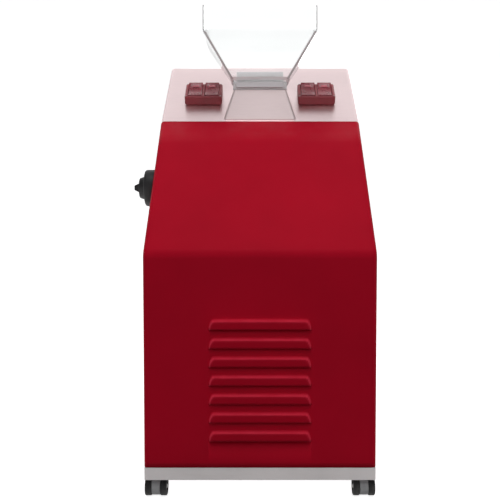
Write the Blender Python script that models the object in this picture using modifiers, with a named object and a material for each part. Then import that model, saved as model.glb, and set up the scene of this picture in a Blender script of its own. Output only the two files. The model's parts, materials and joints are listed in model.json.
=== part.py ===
"""A hopper-fed parts washer on castors, modelled in metres with +Z up and the front facing -Y.

Small dirty parts drop from the clear hopper through a slide gate into a basket drawer. A pump
under the tank sprays them from a bar over the basket, and the fluid drains back into the tank.
Everything is placed in the cabinet's own frame, whose middle is the empty called cabinet.
"""

import math

import bmesh
import bpy
from mathutils import Euler, Matrix, Vector

# ---------------------------------------------------------------- driving dimensions, metres
WIDTH = 0.500
DEPTH = 0.560
SHEET = 0.002
GAP = 0.0004
BASE_BOTTOM = 0.0415
BASE_TOP = 0.069
SOCKET_BOTTOM = 0.046
FOLD_Z = 0.5325
SLOPE_RUN, SLOPE_RISE = 0.304, 0.315
DECK_RUN, DECK_RISE = 0.230, 0.179
FLANGE = 0.016
CORNER_R = 0.010
FOLD_R = 0.035
TOP_R = 0.018

LOUVRES = 7
LOUVRE_PITCH = 0.0400
LOUVRE_FIRST_Z = 0.3672
LOUVRE_LENGTH = 0.221
LOUVRE_HEIGHT = 0.0245
LOUVRE_DEPTH = 0.009
LOUVRE_ROOT = 0.001

KNOB_REACH = 0.050
DOOR_THICK = 0.012
HANDLE_REACH = 0.036
HANDLE_R = 0.0056
REAR_REACH = DOOR_THICK + HANDLE_REACH + 2 * GAP

# The knob sticks out on the left and the drawer handle at the back, so the cabinet stands off
# centre by half of each: that puts the middle of the whole object's footprint at the origin.
CABINET_AT = (KNOB_REACH / 2, (LOUVRE_DEPTH - LOUVRE_ROOT - REAR_REACH) / 2, 0)

# ---------------------------------------------------------------- derived places
HALF_W = WIDTH / 2
FRONT = -DEPTH / 2
BACK = DEPTH / 2
BODY_Z = BASE_TOP + GAP
SLOPE_TOP = Vector((FRONT + SLOPE_RUN, FOLD_Z + SLOPE_RISE))
DECK_TOP = Vector((SLOPE_TOP.x + DECK_RUN, SLOPE_TOP.y + DECK_RISE))
TOP_Z = DECK_TOP.y
DECK_ANGLE = math.atan2(DECK_RISE, DECK_RUN)
INSIDE = HALF_W - SHEET - GAP

NECK_HALF = (0.068, 0.044)
NECK_Y = 0.080
NECK_Z = (0.929, 0.950)
THROAT_HALF = (0.056, 0.034)
BOOT_BACK = 0.0710
SLEEVE_TOP = 0.975
HOPPER_FOLD_Z = 1.061
HOPPER_TOP_Z = 1.120
HOPPER_FLARE = 0.071
CLEAR_WALL = 0.003
BLADE_Z = 0.9395

KNOB_AT = (-0.060, 0.677)
DRAWER_Z = (0.486, 0.586)
RUNNER_Z = DRAWER_Z[1] - 0.014
HOSE_AT = (0.2215, 0.155)
HOOD_HALF = 0.205
HOOD_FRONT = -0.138
HOOD_Z = (0.594, 0.664)
DOOR_X = (-0.185, 0.185)
DOOR_Z = (0.105, 0.435)
HINGE_X = 0.191
TANK_RIM_Z = 0.462
TANK_FLOOR_Z = 0.275
PUMP_Z = 0.150
PUMP_Y = 0.020


# ---------------------------------------------------------------- scene and materials
def clear_scene():
    for obj in list(bpy.data.objects):
        bpy.data.objects.remove(obj)


def collection(name):
    made = bpy.data.collections.new(name)
    bpy.context.scene.collection.children.link(made)
    return made


def material(name, colour, roughness, metallic=0.0, alpha=1.0):
    made = bpy.data.materials.new(name)
    made.use_nodes = True
    shader = made.node_tree.nodes["Principled BSDF"]
    shader.inputs["Base Color"].default_value = (*colour, 1.0)
    shader.inputs["Roughness"].default_value = roughness
    shader.inputs["Metallic"].default_value = metallic
    shader.inputs["Alpha"].default_value = alpha
    return made


clear_scene()
PARTS = collection("parts_washer")
CUTTERS = collection("cutters")
RED = material("red_paint", (0.36, 0.006, 0.018), 0.42)
STEEL = material("brushed_steel", (0.72, 0.69, 0.69), 0.32, 1.0)
GREY = material("grey_paint", (0.42, 0.40, 0.40), 0.50)
BLACK = material("black_plastic", (0.018, 0.018, 0.020), 0.45)
MAROON = material("switch_housing", (0.075, 0.012, 0.018), 0.40)
LAMP = material("switch_red", (0.42, 0.02, 0.04), 0.25)
CLEAR = material("clear_plastic", (0.93, 0.95, 0.95), 0.05, alpha=0.30)
CASTOR_GREY = material("castor_grey", (0.33, 0.33, 0.34), 0.45)
RUBBER = material("black_rubber", (0.012, 0.012, 0.013), 0.70)
MOTOR = material("motor_blue_grey", (0.10, 0.13, 0.16), 0.50)
HOSE = material("hose_rubber", (0.02, 0.02, 0.022), 0.60)
BRASS = material("brass", (0.62, 0.44, 0.18), 0.30, 1.0)

cabinet = bpy.data.objects.new("cabinet", None)
cabinet.location = CABINET_AT
PARTS.objects.link(cabinet)


def add(name, mesh, finish, at=(0, 0, 0), turn=(0, 0, 0), parent=None):
    """One named object, placed in its parent's frame, or in the cabinet's."""
    made = bpy.data.objects.new(name, mesh)
    made.location = at
    made.rotation_euler = turn
    made.parent = parent or cabinet
    if finish:
        made.data.materials.append(finish)
    PARTS.objects.link(made)
    return made


def helper(obj):
    """Makes an object a cutter or a piece to be joined, and not a part."""
    PARTS.objects.unlink(obj)
    CUTTERS.objects.link(obj)
    obj.hide_render = True
    obj.display_type = "WIRE"
    return obj


def boolean(target, operation, *others):
    for other in others:
        helper(other)
        change = target.modifiers.new(operation.lower(), "BOOLEAN")
        change.operation = operation
        change.solver = "EXACT"
        change.object = other
    return target


def cut(target, *others):
    return boolean(target, "DIFFERENCE", *others)


def join(target, *others):
    return boolean(target, "UNION", *others)


def mesh_from(name, build):
    """A mesh filled by the bmesh function given."""
    work = bmesh.new()
    build(work)
    bmesh.ops.recalc_face_normals(work, faces=work.faces)
    made = bpy.data.meshes.new(name)
    work.to_mesh(made)
    work.free()
    return made


def box(name, low, high, finish=None, bevel=0.0, **place):
    """A box from its low to its high corner, with its origin at its middle."""
    low, high = Vector(low), Vector(high)
    size = Matrix.Diagonal((*(high - low), 1.0))
    mesh = mesh_from(name, lambda work: bmesh.ops.create_cube(work, size=1.0, matrix=size))
    made = add(name, mesh, finish, at=(low + high) / 2, **place)
    if bevel:
        rounded(made, bevel)
    return made


def rounded(obj, width, segments=1):
    change = obj.modifiers.new("bevel", "BEVEL")
    change.width = width
    change.segments = segments
    change.limit_method = "ANGLE"
    change.angle_limit = math.radians(40)
    return obj


AXIS_TURN = {
    "x": Euler((0, math.pi / 2, 0)),
    "y": Euler((-math.pi / 2, 0, 0)),
    "z": Euler((0, 0, 0)),
}


def cylinder(name, at, radius, length, axis, finish=None, sides=24, end_radius=None, **place):
    """A cylinder or cone from at, along the axis given, with its origin at its middle."""
    turn = AXIS_TURN[axis].to_matrix().to_4x4()
    middle = Vector(at) + turn @ Vector((0, 0, length / 2))
    end = radius if end_radius is None else end_radius

    def build(work):
        bmesh.ops.create_cone(work, cap_ends=True, segments=sides, radius1=radius,
                              radius2=end, depth=length, matrix=turn)

    made = add(name, mesh_from(name, build), finish, at=middle, **place)
    made.data.shade_smooth()
    made.data.set_sharp_from_angle(angle=math.radians(35))
    return made


def six_sided(name, low_ring, high_ring, finish=None, **place):
    """A block between two four-cornered rings, each given anticlockwise from above."""
    def build(work):
        bmesh.ops.create_cube(work, size=2.0)
        turn = [(-1, -1), (1, -1), (1, 1), (-1, 1)]
        for vert in work.verts:
            ring = high_ring if vert.co.z > 0 else low_ring
            corner = turn.index((round(vert.co.x), round(vert.co.y)))
            vert.co = Vector(ring[corner])

    return add(name, mesh_from(name, build), finish, **place)


def ring(half_x, low_y, high_y, z):
    return [(-half_x, low_y, z), (half_x, low_y, z), (half_x, high_y, z), (-half_x, high_y, z)]


def shell(obj, thickness, outward=False):
    change = obj.modifiers.new("wall", "SOLIDIFY")
    change.thickness = thickness
    change.offset = 1.0 if outward else -1.0
    change.use_even_offset = True
    return obj


def plate(name, outline, thickness, finish, turn, at, parent=None):
    """A flat plate from a closed 2D outline, centred on its own plane."""
    curve = bpy.data.curves.new(name, "CURVE")
    curve.dimensions = "2D"
    curve.fill_mode = "BOTH"
    curve.extrude = thickness / 2
    spline = curve.splines.new("POLY")
    spline.points.add(len(outline) - 1)
    for point, (u, v) in zip(spline.points, outline):
        point.co = (u, v, 0, 1)
    spline.use_cyclic_u = True
    return as_mesh(add(name, curve, finish, at=at, turn=turn, parent=parent))


def inset(outline, distance):
    """A closed outline, given clockwise, moved inwards by a distance."""
    moved = []
    for before, here, after in zip(outline[-1:] + outline[:-1], outline, outline[1:] + outline[:1]):
        into, out = (here - before).normalized(), (after - here).normalized()
        into_n, out_n = Vector((into.y, -into.x)), Vector((out.y, -out.x))
        mitre = (into_n + out_n).normalized()
        moved.append(here + mitre / mitre.dot(into_n) * distance)
    return moved


def as_mesh(obj):
    """Makes a curve object a mesh with its caps welded, so that it can be cut or joined."""
    bpy.context.view_layer.update()
    graph = bpy.context.evaluated_depsgraph_get()
    mesh = bpy.data.meshes.new_from_object(obj.evaluated_get(graph))
    work = bmesh.new()
    work.from_mesh(mesh)
    bmesh.ops.remove_doubles(work, verts=work.verts, dist=1e-6)
    bmesh.ops.recalc_face_normals(work, faces=work.faces)
    work.to_mesh(mesh)
    work.free()
    name, finish = obj.name, (list(obj.data.materials) or [None])[0]
    at, turn, parent = obj.location.copy(), obj.rotation_euler.copy(), obj.parent
    bpy.data.objects.remove(obj)
    mesh.name = name
    mesh.materials.clear()
    return add(name, mesh, finish, at=at, turn=turn, parent=parent)


def tube(name, points, radius, finish, fillet, sides_level=2, **place):
    """A pipe through the points, with each corner rounded to the fillet radius."""
    line = [Vector(point) for point in points]
    route = [line[0]]
    for before, corner, after in zip(line, line[1:], line[2:]):
        into, out = (corner - before).normalized(), (after - corner).normalized()
        turn = into.angle(out)
        reach = fillet * math.tan(turn / 2)
        start = corner - into * reach
        inward = (out - into * into.dot(out)).normalized()
        centre = start + inward * fillet
        steps = max(3, round(turn / math.radians(18)))
        for step in range(steps + 1):
            angle = turn * step / steps
            route.append(centre - inward * fillet * math.cos(angle) + into * fillet * math.sin(angle))
    route.append(line[-1])
    curve = bpy.data.curves.new(name, "CURVE")
    curve.dimensions = "3D"
    curve.bevel_depth = radius
    curve.bevel_resolution = sides_level
    curve.use_fill_caps = True
    spline = curve.splines.new("POLY")
    spline.points.add(len(route) - 1)
    for point, place_of in zip(spline.points, route):
        point.co = (*place_of, 1)
    return as_mesh(add(name, curve, finish, **place))


def turned(name, profile, finish, at, axis, steps=32):
    """A turned shape: profile is (radius, height) pairs from the axis at the top, out and down."""
    def build(work):
        verts = [work.verts.new((radius, 0, height)) for radius, height in profile]
        for first, second in zip(verts, verts[1:]):
            work.edges.new((first, second))

    made = add(name, mesh_from(name, build), finish, at=at, turn=AXIS_TURN[axis])
    change = made.modifiers.new("turn", "SCREW")
    change.steps = change.render_steps = steps
    change.use_merge_vertices = True
    change.merge_threshold = 0.00005
    change.use_smooth_shade = True
    return made


# ---------------------------------------------------------------- sheet metal
def path_stations(points, radii, before=None, after=None, arc_steps=5):
    """(place, inward) pairs along a bent line in Y and Z. A corner with no radius is mitred."""
    ends = [before] + points + [after]
    stations = []
    for index, (point, radius) in enumerate(zip(points, radii)):
        last, nxt = ends[index], ends[index + 2]
        into = (point - last).normalized() if last else (nxt - point).normalized()
        out = (nxt - point).normalized() if nxt else into
        into_n, out_n = Vector((into.y, -into.x)), Vector((out.y, -out.x))
        turn = into.angle(out) if into.dot(out) < 1 - 1e-9 else 0.0
        if radius == 0 or turn == 0:
            middle = (into_n + out_n).normalized()
            stations.append((point, middle / middle.dot(into_n)))
            continue
        centre = point - into * radius * math.tan(turn / 2) + into_n * radius
        for step in range(arc_steps + 1):
            normal = into_n.copy()
            normal.rotate(Matrix.Rotation(-turn * step / arc_steps, 2))
            stations.append((centre - normal * radius, normal))
    return stations


def flanged_section(arc_steps=4):
    """(x, depth) pairs across a panel: a flange, a rounded corner, the face, and back again."""
    half = [(-HALF_W, FLANGE)]
    for step in range(arc_steps + 1):
        angle = math.pi / 2 * step / arc_steps
        half.append((-HALF_W + CORNER_R * (1 - math.cos(angle)), CORNER_R * (1 - math.sin(angle))))
    return half + [(-x, depth) for x, depth in reversed(half)]


def bent_panel(name, stations, finish):
    """A folded sheet: a flat grid whose rows follow the stations and whose columns the section."""
    section = flanged_section()
    rows, columns = len(stations), len(section)

    def build(work):
        bmesh.ops.create_grid(work, x_segments=columns - 1, y_segments=rows - 1, size=1.0)
        for vert in work.verts:
            column = round((vert.co.x + 1) / 2 * (columns - 1))
            row = round((vert.co.y + 1) / 2 * (rows - 1))
            x, depth = section[column]
            place, inward = stations[row]
            vert.co = (x, place.x + inward.x * depth, place.y + inward.y * depth)

    made = add(name, mesh_from(name, build), finish)
    if made.data.polygons[0].normal.y + made.data.polygons[0].normal.x > 0:
        made.data.flip_normals()
    return shell(made, SHEET)


def side_outline(reach, back):
    """The closed edge of a side: the folded profile moved in by reach, and then the back."""
    profile = [Vector((FRONT, BODY_Z)), Vector((FRONT, FOLD_Z)), SLOPE_TOP, DECK_TOP,
               Vector((back, TOP_Z))]
    edge = path_stations(profile, [0, FOLD_R, 0, TOP_R, 0])
    return [place + inward * reach for place, inward in edge] + [Vector((back, BODY_Z))]


# ---------------------------------------------------------------- base and castors
CASTOR_X, CASTOR_Y = HALF_W - 0.0240, DEPTH / 2 - 0.0375
WHEEL_R, WHEEL_WIDTH, CASTOR_WIDTH = 0.0200, 0.0140, 0.0475
CASTOR_TRAIL = 0.012
AXLE_R = 0.003


def make_base():
    """The grey base: a plate with a skirt all round, folded down from it."""
    base = box("base_frame", (-HALF_W + 0.001, FRONT + 0.001, BASE_BOTTOM),
               (HALF_W - 0.001, BACK - 0.001, BASE_TOP), GREY)
    wall = 0.003
    inner = box("base_hollow", (-HALF_W + wall, FRONT + wall, BASE_BOTTOM - 0.01),
                (HALF_W - wall, BACK - wall, BASE_TOP - wall))
    cut(base, inner)
    return base


def make_castor(tag, x, y, trail):
    plate_top = BASE_TOP - 0.003 - GAP
    mount = box(f"castor_{tag}_plate", (x - 0.019, y - 0.019, plate_top - 0.003),
                (x + 0.019, y + 0.019, plate_top), STEEL)
    socket = cylinder("socket", (x, y, SOCKET_BOTTOM), 0.009, plate_top - 0.002 - SOCKET_BOTTOM, "z", sides=20)
    bore = cylinder("socket_bore", (x, y, SOCKET_BOTTOM - 0.01), 0.0048, 0.025, "z", sides=20)
    cut(join(mount, socket), bore)

    axle_y = y + trail
    half_hood = CASTOR_WIDTH / 2 - WHEEL_WIDTH - 0.0008
    hood = cylinder(f"castor_{tag}_fork", (x - half_hood, axle_y, WHEEL_R), WHEEL_R - 0.0015,
                    2 * half_hood, "x", CASTOR_GREY, sides=24)
    neck_low, neck_high = sorted((y - math.copysign(0.009, trail), axle_y + math.copysign(0.004, trail)))
    neck = box("hood_neck", (x - half_hood, neck_low, 0.024), (x + half_hood, neck_high, 0.0438))
    stem = cylinder("stem", (x, y, 0.030), 0.0045, 0.030, "z", sides=20)
    axle_bore = cylinder("axle_bore", (x - 0.03, axle_y, WHEEL_R), AXLE_R + 0.0004, 0.06, "x", sides=16)
    cut(join(hood, neck, stem), axle_bore)

    wheels = cylinder(f"castor_{tag}_wheels", (x - CASTOR_WIDTH / 2, axle_y, WHEEL_R), WHEEL_R,
                      WHEEL_WIDTH, "x", RUBBER, sides=24)
    rounded(wheels, 0.002)
    far = cylinder("far_wheel", (x + CASTOR_WIDTH / 2 - WHEEL_WIDTH, axle_y, WHEEL_R), WHEEL_R,
                   WHEEL_WIDTH, "x", sides=24)
    rounded(far, 0.002)
    axle = cylinder("axle", (x - CASTOR_WIDTH / 2 + 0.004, axle_y, WHEEL_R), AXLE_R,
                    CASTOR_WIDTH - 0.008, "x", sides=16)
    join(wheels, far, axle)


def make_castors():
    for side, x in (("left", -CASTOR_X), ("right", CASTOR_X)):
        make_castor(f"front_{side}", x, -CASTOR_Y, -CASTOR_TRAIL)
        make_castor(f"rear_{side}", x, CASTOR_Y, CASTOR_TRAIL)


# ---------------------------------------------------------------- cabinet
def dome(name, length, half_depth, height, foot, at):
    """A long rounded dome lying along X: flat below, and carried down by its foot."""
    def build(work):
        for rise in range(4):
            tilt = math.pi / 2 * rise / 3
            for step in range(12):
                turn = 2 * math.pi * (step + 0.5) / 12
                side = math.copysign(length / 2 - height, math.cos(turn))
                x = side + height * math.cos(turn) * math.cos(tilt)
                y = half_depth * math.sin(turn) * math.cos(tilt)
                work.verts.new((x, y, height * math.sin(tilt)))
                if rise == 0:
                    work.verts.new((x, y, -foot))
        bmesh.ops.remove_doubles(work, verts=work.verts, dist=1e-6)
        hull = bmesh.ops.convex_hull(work, input=work.verts)
        spare = hull["geom_interior"] + hull["geom_unused"]
        bmesh.ops.delete(work, geom=list(set(spare)), context="VERTS")
        bmesh.ops.dissolve_limit(work, angle_limit=0.001, verts=work.verts, edges=work.edges)

    return add(name, mesh_from(name, build), None, at=at)


def make_front_panel():
    """The red front: one sheet folded from the louvred face to the slope."""
    low = Vector((FRONT, BODY_Z))
    top = SLOPE_TOP - (SLOPE_TOP - Vector((FRONT, FOLD_Z))).normalized() * 0.0006
    path = [low, Vector((FRONT, FOLD_Z)), top]
    front = bent_panel("front_panel", path_stations(path, [0, FOLD_R, 0], after=DECK_TOP), RED)
    wall = 0.0016
    for index in range(LOUVRES):
        at = (0, FRONT + LOUVRE_ROOT, LOUVRE_FIRST_Z - index * LOUVRE_PITCH)
        hood = dome("louvre_hood", LOUVRE_LENGTH, LOUVRE_DEPTH, LOUVRE_HEIGHT, 0.0, at)
        hollow = dome("louvre_hollow", LOUVRE_LENGTH - 2 * wall, LOUVRE_DEPTH - wall,
                      LOUVRE_HEIGHT - wall, 0.001, at)
        cut(join(front, hood), hollow)
    return front


def side_plate(name, outline, thickness, finish, x):
    turn = (math.pi / 2, 0, math.pi / 2)
    return plate(name, [(point.x, point.y) for point in outline], thickness, finish, turn, (x, 0, 0))


def make_side_panel(name, side):
    outline = side_outline(FLANGE + GAP, BACK)
    return side_plate(name, outline, SHEET, RED, side * (HALF_W - SHEET / 2))


def make_side_frame(name, side):
    """A welded bar frame inside each side, which the front, the deck and the panels screw to."""
    thick, bar, reach = 0.012, 0.012, 0.009
    x = side * (INSIDE - thick / 2)
    back = BACK - SHEET - GAP
    frame = side_plate(name, side_outline(reach, back), thick, GREY, x)
    top_corner = DECK_TOP + (DECK_TOP - SLOPE_TOP) * ((back + reach - DECK_TOP.x) / DECK_RUN)
    outer = [Vector((FRONT, BODY_Z - reach)), Vector((FRONT, FOLD_Z)), SLOPE_TOP, top_corner,
             Vector((back + reach, BODY_Z - reach))]
    return cut(frame, side_plate("frame_window", inset(outer, reach + bar), 2 * thick, None, x))


def make_deck():
    """The steel deck: the upper part of the slope, folded level at the top."""
    start = SLOPE_TOP + (DECK_TOP - SLOPE_TOP).normalized() * 0.0006
    path = [start, DECK_TOP, Vector((BACK - SHEET - GAP, TOP_Z))]
    before = Vector((FRONT, FOLD_Z))
    deck = bent_panel("deck_panel", path_stations(path, [0, TOP_R, 0], before=before), STEEL)
    throat = box("throat_cut", (-THROAT_HALF[0] - 0.002, NECK_Y - THROAT_HALF[1] - 0.002, 0.80),
                 (THROAT_HALF[0] + 0.002, NECK_Y + THROAT_HALF[1] - 0.004, 1.0))
    return cut(deck, throat)


def deck_frame():
    """An empty at the deck's front edge: its Y runs up the deck and its Z stands off it."""
    frame = bpy.data.objects.new("deck_frame", None)
    frame.location = (0, SLOPE_TOP.x, SLOPE_TOP.y)
    frame.rotation_euler = (DECK_ANGLE, 0, 0)
    frame.parent = cabinet
    PARTS.objects.link(frame)
    return frame


def make_rear_panel():
    rear = box("rear_panel", (-HALF_W + SHEET + GAP, BACK - SHEET, BODY_Z),
               (HALF_W - SHEET - GAP, BACK, TOP_Z - 0.001), RED)
    drawer = box("drawer_cut", (-0.196, BACK - 0.02, DRAWER_Z[0] - 0.006),
                 (0.196, BACK + 0.02, DRAWER_Z[1] + 0.012))
    door = box("door_cut", (DOOR_X[0] + 0.015, BACK - 0.02, DOOR_Z[0] + 0.015),
               (DOOR_X[1] - 0.015, BACK + 0.02, DOOR_Z[1] - 0.015))
    inlet = box("inlet_cut", (0.146, BACK - 0.02, 0.758), (0.174, BACK + 0.02, 0.782))
    slots = [box("vent_slot", (-0.09, BACK - 0.02, 0.70 + 0.022 * row),
                 (0.09, BACK + 0.02, 0.706 + 0.022 * row))
             for row in range(5)]
    return cut(rear, drawer, door, inlet, *slots)


# ---------------------------------------------------------------- service door
def make_door():
    outer = BACK + GAP + DOOR_THICK
    door = box("service_door", (DOOR_X[0], BACK + GAP, DOOR_Z[0]), (DOOR_X[1], outer, DOOR_Z[1]), RED)
    pan = box("door_pan", (DOOR_X[0] + SHEET, BACK - 0.01, DOOR_Z[0] + SHEET),
              (DOOR_X[1] - SHEET, outer - SHEET, DOOR_Z[1] - SHEET))
    cut(door, pan)
    slots = [box("door_slot", (-0.08, BACK, 0.15 + 0.024 * row), (0.08, outer + 0.01, 0.156 + 0.024 * row))
             for row in range(5)]
    hole = cylinder("latch_hole", (-0.160, BACK, 0.27), 0.0066, 0.03, "y", sides=20)
    cut(door, hole, *slots)
    axis_y = BACK + GAP + DOOR_THICK / 2
    for z in (0.355, 0.165):
        knuckle = cylinder("door_knuckle", (HINGE_X, axis_y, z + 0.0005), 0.0055, 0.018, "z", sides=20)
        leaf = box("door_leaf", (DOOR_X[1] - 0.004, axis_y - 0.0015, z + 0.0005),
                   (HINGE_X, axis_y + 0.0015, z + 0.0185))
        bore = cylinder("knuckle_bore", (HINGE_X, axis_y, z - 0.01), 0.0030, 0.04, "z", sides=20)
        join(door, knuckle, leaf)
        cut(door, bore)
    for name, z in (("door_hinge_upper", 0.355), ("door_hinge_lower", 0.165)):
        hinge = cylinder(name, (HINGE_X, axis_y, z - 0.018), 0.0055, 0.018, "z", GREY, sides=20)
        leaf = box("fixed_leaf", (HINGE_X - 0.002, BACK + GAP, z - 0.018),
                   (HINGE_X + 0.030, BACK + GAP + 0.002, z))
        web = box("fixed_web", (HINGE_X - 0.002, BACK + GAP, z - 0.018), (HINGE_X + 0.002, axis_y, z))
        pin = cylinder("hinge_pin", (HINGE_X, axis_y, z - 0.010), 0.0026, 0.032, "z", sides=20)
        join(hinge, leaf, web, pin)
    return door


def make_latch():
    """A quarter-turn wing latch. At rest its cam stands upright, clear of the rear panel."""
    outer = BACK + GAP + DOOR_THICK
    latch = cylinder("door_latch", (-0.160, outer + 0.0004, 0.27), 0.015, 0.006, "y", BLACK, sides=28)
    shaft = cylinder("latch_shaft", (-0.160, BACK - 0.008, 0.27), 0.0060, 0.024, "y", sides=20)
    wing = box("latch_wing", (-0.165, outer + 0.004, 0.245), (-0.155, outer + 0.020, 0.295))
    cam = box("latch_cam", (-0.167, BACK - 0.0075, 0.262), (-0.153, BACK - 0.0045, 0.300))
    return join(latch, shaft, wing, cam)


# ---------------------------------------------------------------- drawer and wash chamber
def make_drawer():
    outer = BACK + GAP + DOOR_THICK
    low_z, high_z = DRAWER_Z[0] - 0.016, DRAWER_Z[1] + 0.030
    front = box("drawer_front", (-0.215, BACK + GAP, low_z), (0.215, outer, high_z), RED)
    pan = box("drawer_pan", (-0.213, BACK - 0.01, low_z + 0.002), (0.213, outer - SHEET, high_z - 0.002))
    cut(front, pan)
    handle_z = (DRAWER_Z[0] + DRAWER_Z[1]) / 2 + 0.006
    foot = outer + GAP
    reach = foot + HANDLE_REACH - HANDLE_R
    tube("drawer_handle", [(-0.075, foot, handle_z), (-0.075, reach, handle_z), (0.075, reach, handle_z),
                           (0.075, foot, handle_z)], HANDLE_R, STEEL, 0.016)

    walls = ring(0.176, -0.110, BACK - 0.006, DRAWER_Z[0] + 0.002)
    mouth = ring(0.180, -0.114, BACK - 0.003, DRAWER_Z[1])
    basket = six_sided("wash_basket", walls, mouth, STEEL)
    hollow_low = ring(0.174, -0.108, BACK - 0.008, DRAWER_Z[0] + 0.004)
    hollow_high = ring(0.178, -0.112, BACK - 0.005, DRAWER_Z[1] + 0.004)
    cut(basket, six_sided("basket_hollow", hollow_low, hollow_high))
    for side in (-1, 1):
        low_x, high_x = sorted((side * 0.1765, side * 0.1885))
        runner = box("basket_runner", (low_x, -0.105, RUNNER_Z), (high_x, BACK - 0.008, RUNNER_Z + 0.002))
        join(basket, runner)
    bracket = box("basket_bracket", (-0.150, BACK - 0.010, DRAWER_Z[0] + 0.020),
                  (0.150, outer - SHEET - GAP, DRAWER_Z[0] + 0.032))
    join(basket, bracket)


def make_racks():
    """A folded rack on each side frame: its shelves carry the hood, the drawer and the tank."""
    web = (0.2335, INSIDE - 0.012 - GAP)
    back = BACK - 0.003
    top = HOOD_Z[0] - GAP
    shelves = [(0.2020, top), (0.1835, RUNNER_Z - GAP), (0.2040, TANK_RIM_Z - 0.0025 - GAP)]
    for name, side in (("rack_left", -1), ("rack_right", 1)):
        low_x, high_x = sorted((side * web[0], side * web[1]))
        rack = box(name, (low_x, -0.205, 0.440), (high_x, back, top), STEEL)
        for reach, level in shelves:
            low_x, high_x = sorted((side * reach, side * (web[0] + 0.0005)))
            join(rack, box("shelf", (low_x, -0.200, level - 0.002), (high_x, back, level)))
        hose_x, hose_y = side * HOSE_AT[0], HOSE_AT[1]
        cut(rack, cylinder("hose_notch", (hose_x, hose_y, 0.42), 0.0105, 0.22, "z", sides=20))


def make_splash_hood():
    """A steel cover over the basket, open below and at the back, with the chute's hole on top."""
    low, high = (-HOOD_HALF, HOOD_FRONT, HOOD_Z[0]), (HOOD_HALF, BACK - 0.012, HOOD_Z[1])
    hood = box("splash_hood", low, high, STEEL)
    hollow = box("hood_hollow", (-HOOD_HALF + SHEET, HOOD_FRONT + SHEET, HOOD_Z[0] - 0.02),
                 (HOOD_HALF - SHEET, BACK + 0.01, HOOD_Z[1] - SHEET))
    chute_hole = box("chute_hole", (-0.060, 0.038, 0.60), (0.060, 0.116, 0.70))
    pipe_hole = cylinder("pipe_hole", (-0.25, 0.155, 0.636), 0.0115, 0.07, "x", sides=20)
    return cut(hood, hollow, chute_hole, pipe_hole)


def under_deck(points, drop):
    """The same points moved to a vertical distance below the deck's upper face."""
    slope = math.tan(DECK_ANGLE)
    return [(x, y, SLOPE_TOP.y + (y - SLOPE_TOP.x) * slope - drop) for x, y, _ in points]


def make_chute():
    """The duct from the deck's throat down through the hood."""
    wall = 0.0015
    drop = SHEET / math.cos(DECK_ANGLE) + GAP
    low = ring(0.0560, 0.0420, 0.1120, 0.640)
    high = under_deck(ring(0.0600, 0.0420, 0.1120, 0.0), drop)
    hollow_low = ring(0.0560 - wall, 0.0420 + wall, 0.1120 - wall, 0.630)
    hollow_high = under_deck(ring(0.0600 - wall, 0.0420 + wall, 0.1120 - wall, 0.0), drop - 0.010)
    return cut(six_sided("feed_chute", low, high, STEEL), six_sided("chute_hollow", hollow_low, hollow_high))


def make_spray_bar():
    bar = cylinder("spray_bar", (-0.190, 0.155, 0.636), 0.008, 0.360, "x", STEEL, sides=16)
    nozzles = []
    for index in range(5):
        x = -0.15 + index * 0.07
        at = (x, 0.155, 0.620)
        nozzles.append(cylinder("nozzle", at, 0.0065, 0.012, "z", sides=12, end_radius=0.0045))
    return join(bar, *nozzles)


def make_tank():
    """The fluid tank: a tapered steel tub with an outward rim and two outlets in its floor."""
    bottom = ring(0.170, -0.200, 0.200, TANK_FLOOR_Z)
    mouth = ring(0.200, -0.230, 0.253, TANK_RIM_Z)
    tank = shell(open_top(six_sided("wash_tank", bottom, mouth, STEEL)), 0.0020)
    rim = box("tank_rim", (-0.2320, -0.2425, TANK_RIM_Z - 0.0025), (0.2320, 0.2655, TANK_RIM_Z - 0.0005))
    inside = six_sided("rim_hole", ring(0.1990, -0.2290, 0.2520, TANK_RIM_Z - 0.02),
                       ring(0.1990, -0.2290, 0.2520, TANK_RIM_Z + 0.02))
    cut(rim, inside)
    join(tank, rim)
    outlets = [cylinder("outlet", (x, y, 0.25), 0.0125, 0.05, "z", sides=20)
               for x, y in (FILTER_AT, DRAIN_AT)]
    outlets.append(cylinder("hose_notch", (-HOSE_AT[0], HOSE_AT[1], 0.42), 0.0115, 0.10, "z", sides=20))
    return cut(tank, *outlets)


def open_top(obj):
    """Removes the face on top, so that a wall can be made of what is left."""
    work = bmesh.new()
    work.from_mesh(obj.data)
    top = max(work.faces, key=lambda face: face.calc_center_median().z)
    bmesh.ops.delete(work, geom=[top], context="FACES_ONLY")
    work.to_mesh(obj.data)
    work.free()
    return obj


FILTER_AT = (-0.150, -0.100)
DRAIN_AT = (0.140, 0.150)


def make_heater():
    """A looped heating element on the tank's floor, held by its terminal head at the rim."""
    z = 0.300
    heater = tube("tank_heater", [(-0.120, -0.190, 0.470), (-0.120, -0.190, z), (-0.120, 0.110, z),
                                  (0.060, 0.110, z), (0.060, -0.190, z), (0.060, -0.190, 0.470)],
                  0.0045, STEEL, 0.030)
    head = box("heater_head", (-0.140, -0.2425, TANK_RIM_Z + 0.0010), (0.080, -0.180, 0.490))
    return join(heater, head)


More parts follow.
